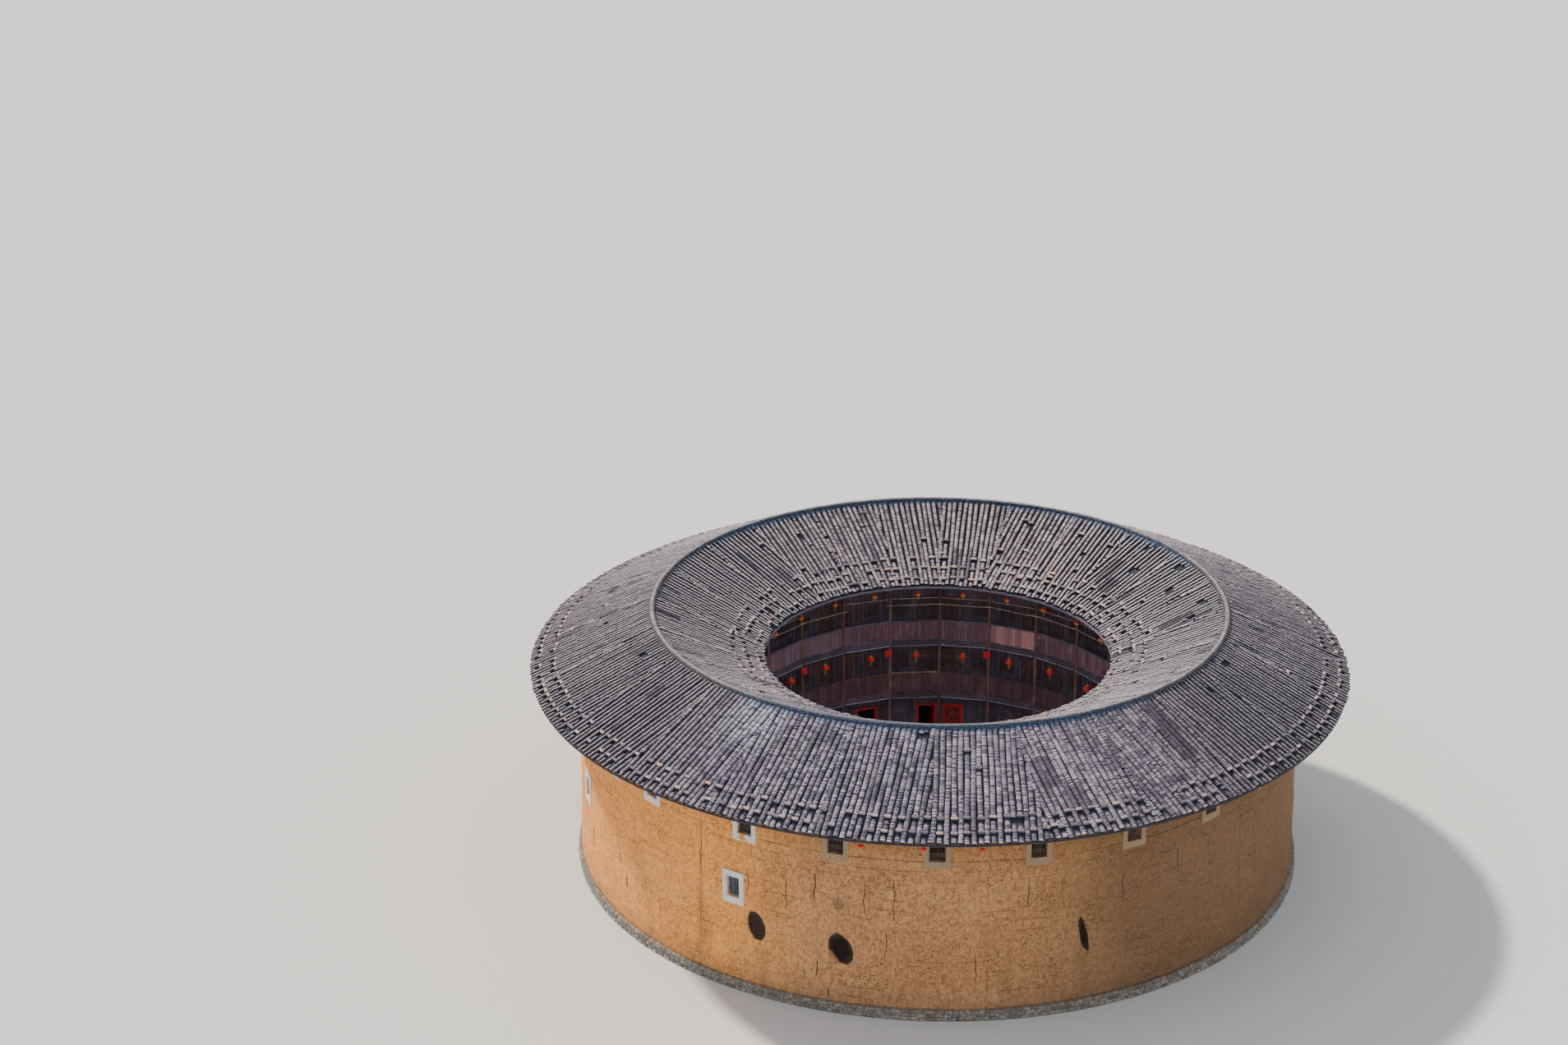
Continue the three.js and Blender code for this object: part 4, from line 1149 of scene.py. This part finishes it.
def lay_field(index, outer, chance):
    """The tiles of one field, from truss to truss: their matrices, tints and shades, and the
    places between the rows where bricks can lie."""
    eave, ridge = slope_side(outer)
    fall = -OUTER_FALL if outer else INNER_FALL
    inside = 1 if outer else -1
    low, high = (ridge + 0.16, eave - 0.052) if outer else (eave + 0.03, ridge - 0.16)
    middle_radius = (eave + ridge) / 2
    start = post_azimuth(index)
    middle = start + BAY / 2
    turn = field_turn(middle, chance)
    pitch_degrees = math.degrees(ROW_PITCH[outer] / middle_radius)
    rows = np.arange(start - 8 + chance.uniform(0, pitch_degrees), start + BAY + 8, pitch_degrees)
    course = COURSE[outer] * math.cos(math.atan(abs(fall)))
    steps = np.arange(-3.6, 3.6, course)
    base = np.radians(rows)[:, None]
    heading = np.radians(middle + turn + FAN * (rows - middle))[:, None]
    slide = chance.uniform(0, course, (len(rows), 1))
    t = steps[None, :] + slide + chance.normal(0, 0.006, (len(rows), len(steps)))
    sway = 0.02 * np.sin(t * 1.3 + chance.uniform(0, 6, (len(rows), 1)))
    ux, uy = np.sin(heading) * inside, -np.cos(heading) * inside
    x = middle_radius * np.sin(base) + t * ux + sway * uy
    y = -middle_radius * np.cos(base) + t * uy - sway * ux
    reach = np.hypot(x, y)
    azimuth = np.degrees(np.arctan2(x, -y))
    from_start = (azimuth - start + 180) % 360 - 180
    inward = np.minimum(from_start, BAY - from_start) * np.pi / 180 * reach
    kept = (reach > low) & (reach < high) & (inward > -0.05)
    dark_run = np.zeros(kept.shape)
    for row in range(len(rows)):
        for _ in range(chance.poisson(0.25)):
            first = chance.integers(0, len(steps))
            darkness = chance.uniform(0.5, 1.0)
            wide, long = chance.integers(1, 4), chance.integers(4, 22)
            dark_run[row:row + wide, first:first + long] = darkness
    lost = chance.random(kept.shape) < 0.002
    tumbled = inward < 0.12
    lost |= tumbled & (chance.random(kept.shape) < 0.05)
    for _ in range(chance.poisson(0.9)):
        row, first = chance.integers(0, len(rows) - 1), chance.integers(0, len(steps) - 5)
        lost[row:row + 2, first:first + 4] = True
    for _ in range(chance.poisson(1.4)):
        row, first = chance.integers(0, len(rows)), chance.integers(0, len(steps) - 12)
        slipped = chance.integers(3, 6)
        lost[row, first:first + slipped] = True
        tumbled[row, first + slipped:first + slipped + 3] = True
    bricks = []
    flip = 0 if outer else math.pi

    def add_brick(row, step):
        bricks.append((x[row, step], y[row, step], float(heading[row, 0] + flip)))

    for _ in range(chance.poisson(LOOSE_BRICKS[outer])):
        row, above = chance.integers(0, len(rows)), chance.integers(0, len(steps) - 4)
        if kept[row, above] and low + 0.3 < reach[row, above] < high - 0.3:
            lost[row, above + 1:above + 3] = chance.random() < 0.7
            add_brick(row, above)
    for ring_radius in BRICK_RINGS[outer]:
        for row in range(index % 2, len(rows), 2):
            nearest = int(np.argmin(np.abs(reach[row] - ring_radius)))
            if kept[row, nearest] and chance.random() < (0.9 if outer else 0.8):
                gone = chance.integers(3, 5) if outer else chance.integers(2, 4)
                lost[row, nearest + 1:nearest + gone] = chance.random() < 0.9
                add_brick(row, nearest)
    kept &= ~lost
    tumbled = tumbled[kept]
    count = int(kept.sum())
    px, py, pr = x[kept], y[kept], reach[kept]
    dx = np.broadcast_to(ux, kept.shape)[kept]
    dy = np.broadcast_to(uy, kept.shape)[kept]
    yaw = chance.normal(0, 0.03, count) + tumbled * chance.normal(0, 0.16, count)
    dx, dy = dx * np.cos(yaw) - dy * np.sin(yaw), dx * np.sin(yaw) + dy * np.cos(yaw)
    rx, ry = px / pr, py / pr
    down_line = np.stack([dx, dy, fall * (dx * rx + dy * ry)], -1)
    down_line /= np.linalg.norm(down_line, axis=1, keepdims=True)
    off_roof = np.stack([-fall * rx, -fall * ry, np.ones(count)], -1)
    off_roof /= np.linalg.norm(off_roof, axis=1, keepdims=True)
    across = np.cross(down_line, off_roof)
    lift = -BOARD_DEPTH + chance.normal(0, 0.003, count) + tumbled * chance.uniform(0, 0.035, count)
    pz = (OUTER_EAVE.y if outer else INNER_EAVE.y) + np.abs(eave - pr) * abs(fall) + lift
    size = chance.normal(1.0, 0.03, count)
    places = np.zeros((count, 4, 4))
    places[:, :3, 0] = across * size[:, None]
    places[:, :3, 1] = down_line
    places[:, :3, 2] = off_roof * chance.normal(1.0, 0.04, count)[:, None]
    places[:, :3, 3] = np.stack([px, py, pz], -1)
    places[:, 3, 3] = 1
    batch = np.cumsum(chance.random(kept.shape) < 0.38, axis=1) + 200 * np.arange(len(rows))[:, None]
    batch_tone = chance.random(int(batch.max()) + 1)[batch]
    row_tone = np.broadcast_to(chance.random((len(rows), 1)), kept.shape)
    tints = 0.88 * (0.18 * row_tone[kept] + 0.62 * batch_tone[kept] + 0.2 * chance.random(count))
    odd = chance.random(count) < 0.035
    tints[odd] = chance.uniform(0.86, 1.0, int(odd.sum()))
    return places, tints, dark_run[kept], bricks


BRICK_RINGS = {True: (17.50, 16.85), False: (8.02, 8.62, 9.15)}
LOOSE_BRICKS = {True: 3, False: 6}
tile = tile_model()
brick_places = []
for outer, label in ((True, "outer"), (False, "inner")):
    chance = np.random.default_rng(40 + outer)
    for quarter in range(4):
        fields = [lay_field(3 + 6 * quarter + k, outer, chance) for k in range(6)]
        places, tints, darkness = (np.concatenate([field[part] for field in fields]) for part in range(3))
        piece = lay(f"{label}_tiles_{quarter + 1}", tile, places, tile_clay, tints)
        shades = np.repeat(darkness, len(tile.data.vertices))
        piece.data.attributes.new("shade", "FLOAT", "POINT").data.foreach_set("value", shades)
        soften(piece, 62)
        house_part(piece)
        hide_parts(f"{label}_roof_{quarter + 1}")
        brick_places += [(outer, *brick) for field in fields for brick in field[3]]
put_away(tile)


# Bricks. Spare bricks, laid flat across the gaps between two rows, weigh the tiles down
# against the wind: two rings above the outer eave, three above the inner one, and a few more
# where a tile once slipped.

brick_clay = Finish("brick", 0.85, "roof_tile")
crumble = brick_clay.place.cloud(16.0, 5.0, 0.65)
brick_clay.set("Base Color", brick_clay.attribute("tint").ramp(
    (0.0, (0.12, 0.10, 0.13)), (0.3, (0.20, 0.16, 0.19)), (0.6, (0.33, 0.255, 0.26)),
    (0.88, (0.55, 0.40, 0.35)), (1.0, (0.62, 0.34, 0.23))))
brick_clay.coat(crumble.above(0.52, 0.72) * 0.4, (0.14, 0.12, 0.13))
brick_clay.bump(crumble, 0.01)

brick = timber("brick", (0.27, 0.12, 0.06), 0.014)
chance = np.random.default_rng(77)
places = []
for outer, x, y, heading in brick_places:
    slope = math.atan(OUTER_FALL if outer else INNER_FALL)
    tile_top = roof_height(math.hypot(x, y), outer) - BOARD_DEPTH + TILE_RISE + LIP * 0.6
    turn = Matrix.Rotation(heading + chance.normal(0, 0.07), 4, "Z")
    lean = Matrix.Rotation(slope, 4, "X")
    places.append(Matrix.Translation((x, y, tile_top + 0.035)) @ turn @ lean)
set_up("roof_bricks", brick, places, brick_clay, chance.random(len(places)))


# Ridge. Courses of flat tiles bedded in mortar close the top of both slopes, with a rope of
# pale lime mortar along the crown and the first tiles of the rows below its foot coloured blue.

RIDGE_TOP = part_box("ridge_cap")[1].z
RIDGE_SIDES = 288
CROWN_MIDDLE = RIDGE_TOP - 0.062
ridge_clay = Finish("ridge_tile", 0.85, "ridge_tile")
along, radius, height = ridge_clay.round_house()
ridge_bed = ridge_clay.ring_place()
course_line = 1 - (height * 26.0).math("FRACT").above(0.0, 0.25)
segments = ridge_bed.stretch(8.5, 3.0, 24.0).cloud(1.0, 1.0).above(0.44, 0.58)
soil = ridge_bed.cloud(6.0, 5.0, 0.65)
at_side = abs(along).within(9.0, 13.0, 30.0, 35.0)
# The courses are painted navy blue at the front and the back, for the shade on the faces turned from the
# light, and grey-brown on the sides.
ridge_clay.set("Base Color", segments.blend((0.018, 0.026, 0.050), (0.085, 0.125, 0.200)))
ridge_clay.coat(soil.above(0.58, 0.72) * 0.5, (0.16, 0.17, 0.19))
ridge_clay.coat(at_side * 0.85, segments.blend((0.030, 0.027, 0.034), (0.12, 0.105, 0.11)))
ridge_clay.coat(course_line * 0.6, (0.014, 0.015, 0.022))
ridge_clay.bump(soil * 0.5 - course_line, 0.02)

mortar = Finish("ridge_mortar", 0.9, "ridge_tile")
lime = mortar.place.cloud(3.0, 6.0, 0.65)
dirt = mortar.place.cloud(17.0, 5.0, 0.7)
along, radius, height = mortar.round_house()
front_blue_grey = 1 - abs(along + 4.0).above(5.0, 9.0)
from_crest = abs(radius - RIDGE.x + (lime - 0.5) * 0.04)
crest_lines = (1 - from_crest.above(0.010, 0.022)) + from_crest.above(0.048, 0.064)
mortar.set("Base Color", lime.above(0.35, 0.65).blend((0.27, 0.215, 0.205), (0.56, 0.47, 0.44)))
# The crown is darker and bluer at the front.
mortar.coat(front_blue_grey * 0.8, (0.11, 0.135, 0.17))
mortar.coat(dirt.above(0.48, 0.62) * 0.7, (0.12, 0.10, 0.10))
mortar.coat(crest_lines * 0.85, (0.030, 0.026, 0.032))
mortar.bump(dirt, 0.012)


def ridge_ring(name, half_width, low, high, taper):
    """A ring of masonry along the ridge, bevelled, its top narrower than its foot."""
    outside = RIDGE.x + half_width
    ring = hoop(name, (outside, low), (outside, high), 2 * half_width, sides=RIDGE_SIDES)
    top = max(vertex.co.z for vertex in ring.data.vertices)
    for vertex in ring.data.vertices:
        reach = vertex.co.xy.length
        if vertex.co.z > top - 0.001:
            vertex.co.xy *= (RIDGE.x + (reach - RIDGE.x) * taper) / reach
        vertex.co.z += noise.noise(vertex.co * 0.9) * 0.012
        vertex.co.xy *= 1 + noise.noise(vertex.co * 0.7 + Vector((9, 0, 0))) * 0.012 / reach
    bevel = ring.modifiers.new("edge", "BEVEL")
    bevel.width = 0.012
    bevel.segments = 2
    bevel.limit_method = "ANGLE"
    bpy.ops.object.modifier_apply(modifier=bevel.name)
    return settle(ring, ridge_clay, 45)


courses = ridge_ring("ridge_courses", 0.15, RIDGE.y - 0.16, RIDGE_TOP - 0.055, 0.82)
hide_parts("ridge_cap")
ridge_ring("ridge_foot", 0.215, RIDGE.y - 0.20, RIDGE.y - 0.04, 0.72)

bpy.ops.mesh.primitive_torus_add(
    major_radius=RIDGE.x, minor_radius=0.084, major_segments=720, minor_segments=12,
    location=(0, 0, CROWN_MIDDLE))
crown = take("ridge_crown")
for vertex in crown.data.vertices:
    turn = math.atan2(vertex.co.x, -vertex.co.y)
    round_place = Vector((math.sin(turn) * RIDGE.x, math.cos(turn) * RIDGE.x, 0))
    reach = vertex.co.xy.length
    sway = noise.noise(round_place * 0.8) * 0.035 + noise.noise(vertex.co * 4.5) * 0.022
    vertex.co.z = CROWN_MIDDLE + 0.014 + (vertex.co.z - CROWN_MIDDLE) * 0.27
    vertex.co.z -= abs(noise.noise(round_place * 1.1 + Vector((0, 0, 5)))) * 0.012
    vertex.co.xy *= 1 + sway / reach
settle(crown, mortar, 60)


# Lanterns. Red cloth over ribs with gilt caps and a yellow tassel, hung for a feast: one to a
# bay under the inner eave, one to a bay under the third floor, and three at the outer eave.

lantern_cloth = Finish("lantern_cloth", 0.6, "red_timber")
cloth_fade = lantern_cloth.place.cloud(5.0, 3.0)
along, radius, height = lantern_cloth.round_house()
sunlit_lower_half = lantern_cloth.attribute("low") * height.above(6.8, 7.0) * (1 - radius.above(9.5, 10.0))
lantern_cloth.set(
    "Base Color", cloth_fade.above(0.3, 0.7).blend((0.70, 0.020, 0.020), (0.92, 0.045, 0.035)))
# Painted sunlight: the lower halves of the lanterns under the inner eave are painted orange.
lantern_cloth.coat(sunlit_lower_half * 0.9, (0.95, 0.42, 0.03))
gilt = Finish("lantern_gilt", 0.5, "red_timber")
gilt_wear = gilt.place.cloud(18.0, 4.0)
gilt.set("Base Color", gilt_wear.above(0.35, 0.7).blend((0.95, 0.52, 0.08), (0.75, 0.33, 0.04)))

bpy.ops.mesh.primitive_uv_sphere_add(segments=24, ring_count=10, radius=0.21)
lantern = take("lantern")
start_edit(lantern)
bpy.ops.transform.resize(value=(1, 1, 0.78))
end_edit(lantern)
for vertex in lantern.data.vertices:
    rib = round(math.degrees(math.atan2(vertex.co.y, vertex.co.x)) / 15) % 2
    if rib and vertex.co.xy.length > 0.02:
        vertex.co.xy *= 0.94
lantern.data.materials.append(lantern_cloth.material)
lantern.data.materials.append(gilt.material)
trims = []
for radius, top, foot, sides in (
    (0.09, 0.185, 0.14, 16), (0.10, -0.125, -0.20, 16), (0.032, -0.20, -0.44, 8),
    (0.006, 0.42, 0.185, 6),
):
    bpy.ops.mesh.primitive_cylinder_add(
        vertices=sides, radius=radius, depth=top - foot, location=(0, 0, (top + foot) / 2))
    trim = take("trim")
    start_edit(trim)
    pick_faces(trim, lambda centre, normal: normal.z < -0.9)
    bpy.ops.transform.resize(value=(0.7, 0.7, 1))
    bpy.ops.mesh.select_all(action="SELECT")
    bpy.ops.mesh.bevel(offset=radius * 0.12, segments=1, affect="EDGES")
    end_edit(trim)
    trim.data.materials.append(gilt.material)
    trims.append(trim)
bpy.ops.object.select_all(action="DESELECT")
for trim in trims:
    trim.select_set(True)
lantern.select_set(True)
bpy.context.view_layer.objects.active = lantern
bpy.ops.object.join()
lantern.data.attributes.new("low", "FLOAT", "CORNER")
for face in lantern.data.polygons:
    for loop in face.loop_indices:
        level = lantern.data.vertices[lantern.data.loops[loop].vertex_index].co.z
        lantern.data.attributes["low"].data[loop].value = 1.0 if level < 0.04 else 0.0
chance = np.random.default_rng(5)


def hang(azimuth, radius, level, size):
    """A lantern's place under an eave or a floor, a little off its line and swaying."""
    sway = Matrix.Rotation(math.radians(chance.uniform(-4, 4)), 4, "X") @ Matrix.Scale(size, 4)
    return around(azimuth + chance.uniform(-0.6, 0.6), radius, level + chance.uniform(-0.05, 0.03)) @ sway


lantern_rows = {
    "eave_lanterns": [hang(bay_azimuth(k), 7.98, 8.56, 0.62) for k in range(BAYS)],
    "gallery_lanterns": [hang(bay_azimuth(k), 8.62, 5.12, 0.85) for k in range(BAYS)],
    "outer_lanterns": [hang(azimuth, 17.3, 8.42, 0.55) for azimuth in (-10.3, -1.5, 5.5)],
}
for name, places in lantern_rows.items():
    lanterns = lay(name, lantern, places)
    soften(lanterns, 35)
    house_part(lanterns)
put_away(lantern)


# Papers and a plank. Plain squares of red paper, put up for a feast, hang beside three posts
# under the third floor, and a pale new plank lies on one of the second storey's rails.

paper = Finish("red_paper", 0.8, "red_timber")
creases = paper.place.cloud(11.0, 3.0)
paper.set("Base Color", creases.above(0.35, 0.65).blend((0.62, 0.018, 0.020), (0.80, 0.035, 0.035)))
square = timber("square", (0.34, 0.004, 0.36), 0.001)
start_edit(square)
bpy.ops.mesh.subdivide(number_cuts=3)
end_edit(square)
for vertex in square.data.vertices:
    vertex.co.y += 0.02 * noise.noise(vertex.co * 5.0)
paper_places = [
    around(post_azimuth(index) + shift, POST_RADIUS - 0.12, 5.13)
    @ Matrix.Rotation(math.radians(lean), 4, "Y")
    for index, shift, lean in ((13, 0.6, 4.0), (11, 0.4, -3.0), (15, -0.5, 5.0))
]
house_part(lay("red_papers", square, paper_places, paper))
plank_wood = wood_finish("plank_wood", (0.62, 0.36, 0.25), (0.36, 0.19, 0.13), 0.8, "gallery_timber", 0)
plank = timber("plank", (2.16, 0.10, 0.035), 0.006)
plank_place = around(bay_azimuth(12), BEAM_LINE, STOREYS["second"] + RAILING_TOP + 0.019)
house_part(lay("spare_plank", plank, [plank_place], plank_wood))
put_away(square, plank)


# Bamboo. Drying poles lashed from post to post above the top railing, at two heights.

bamboo = Finish("bamboo", 0.6, "gallery_timber")
cane = bamboo.place.cloud(6.0, 4.0, 0.6)
bamboo.set("Base Color", cane.above(0.35, 0.7).blend((0.90, 0.74, 0.55), (0.52, 0.40, 0.30)))
bpy.ops.mesh.primitive_cylinder_add(
    vertices=8, radius=0.017, depth=BAY_CLEAR + 0.5, rotation=(0, math.pi / 2, 0))
pole = take("pole")
start_edit(pole)
bpy.ops.mesh.bevel(offset=0.003, segments=1, affect="EDGES")
end_edit(pole)
chance = np.random.default_rng(21)
pole_places = [
    around(bay_azimuth(bay), BEAM_LINE + side, STOREYS["third"] + level)
    @ Matrix.Rotation(math.radians(chance.uniform(-1.5, 1.5)), 4, "Y")
    for bay in range(BAYS) for side, level in ((-0.11, 1.85), (0.11, 2.10))
    if chance.random() < 0.85
]
set_up("drying_poles", pole, pole_places, bamboo, degrees=40)


# Floor, light and camera.

bpy.ops.mesh.primitive_plane_add(size=900, location=(0, 0, -0.001))
floor = bpy.context.object
floor.name = "studio_floor"
floor_finish = Finish("studio_floor", 0.9, None)
floor_finish.shader.inputs["Base Color"].default_value = (0.66, 0.64, 0.61, 1)
floor.data.materials.append(floor_finish.material)
floor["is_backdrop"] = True

world = bpy.data.worlds.new("studio")
bpy.context.scene.world = world
world.use_nodes = True
world.node_tree.nodes["Background"].inputs["Color"].default_value = (0.80, 0.86, 0.95, 1)
world.node_tree.nodes["Background"].inputs["Strength"].default_value = 0.98
key_data = bpy.data.lights.new("key", "SUN")
key_data.energy = 5.2
key_data.color = (1.0, 0.93, 0.82)
key_data.angle = math.radians(4)
key = bpy.data.objects.new("key", key_data)
bpy.context.scene.collection.objects.link(key)
key.rotation_euler = Vector((-0.52, 0.46, 0.72)).to_track_quat("Z", "Y").to_euler()

LENS = 68.04
CAMERA_PLACE = Vector((-0.897, -119.892, 62.772))
CAMERA_FORWARD = Vector((-0.04538155, 0.92852981, -0.36847374))
CAMERA_ROLL = math.radians(-0.36)
level = CAMERA_FORWARD.cross(Vector((0, 0, 1))).normalized()
upward = level.cross(CAMERA_FORWARD)
right = level * math.cos(CAMERA_ROLL) + upward * math.sin(CAMERA_ROLL)
up = upward * math.cos(CAMERA_ROLL) - level * math.sin(CAMERA_ROLL)
camera_data = bpy.data.cameras.new("camera")
camera_data.lens = LENS
camera_data.clip_end = 1000
camera = bpy.data.objects.new("camera", camera_data)
bpy.context.scene.collection.objects.link(camera)
axes = Matrix((right, up, -CAMERA_FORWARD)).transposed().to_4x4()
camera.matrix_world = Matrix.Translation(CAMERA_PLACE) @ axes
bpy.context.scene.camera = camera

sizes = {"cad": cad_bounds, "visual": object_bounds()}
sizes = {name: [list(corner) for corner in corners] for name, corners in sizes.items()}
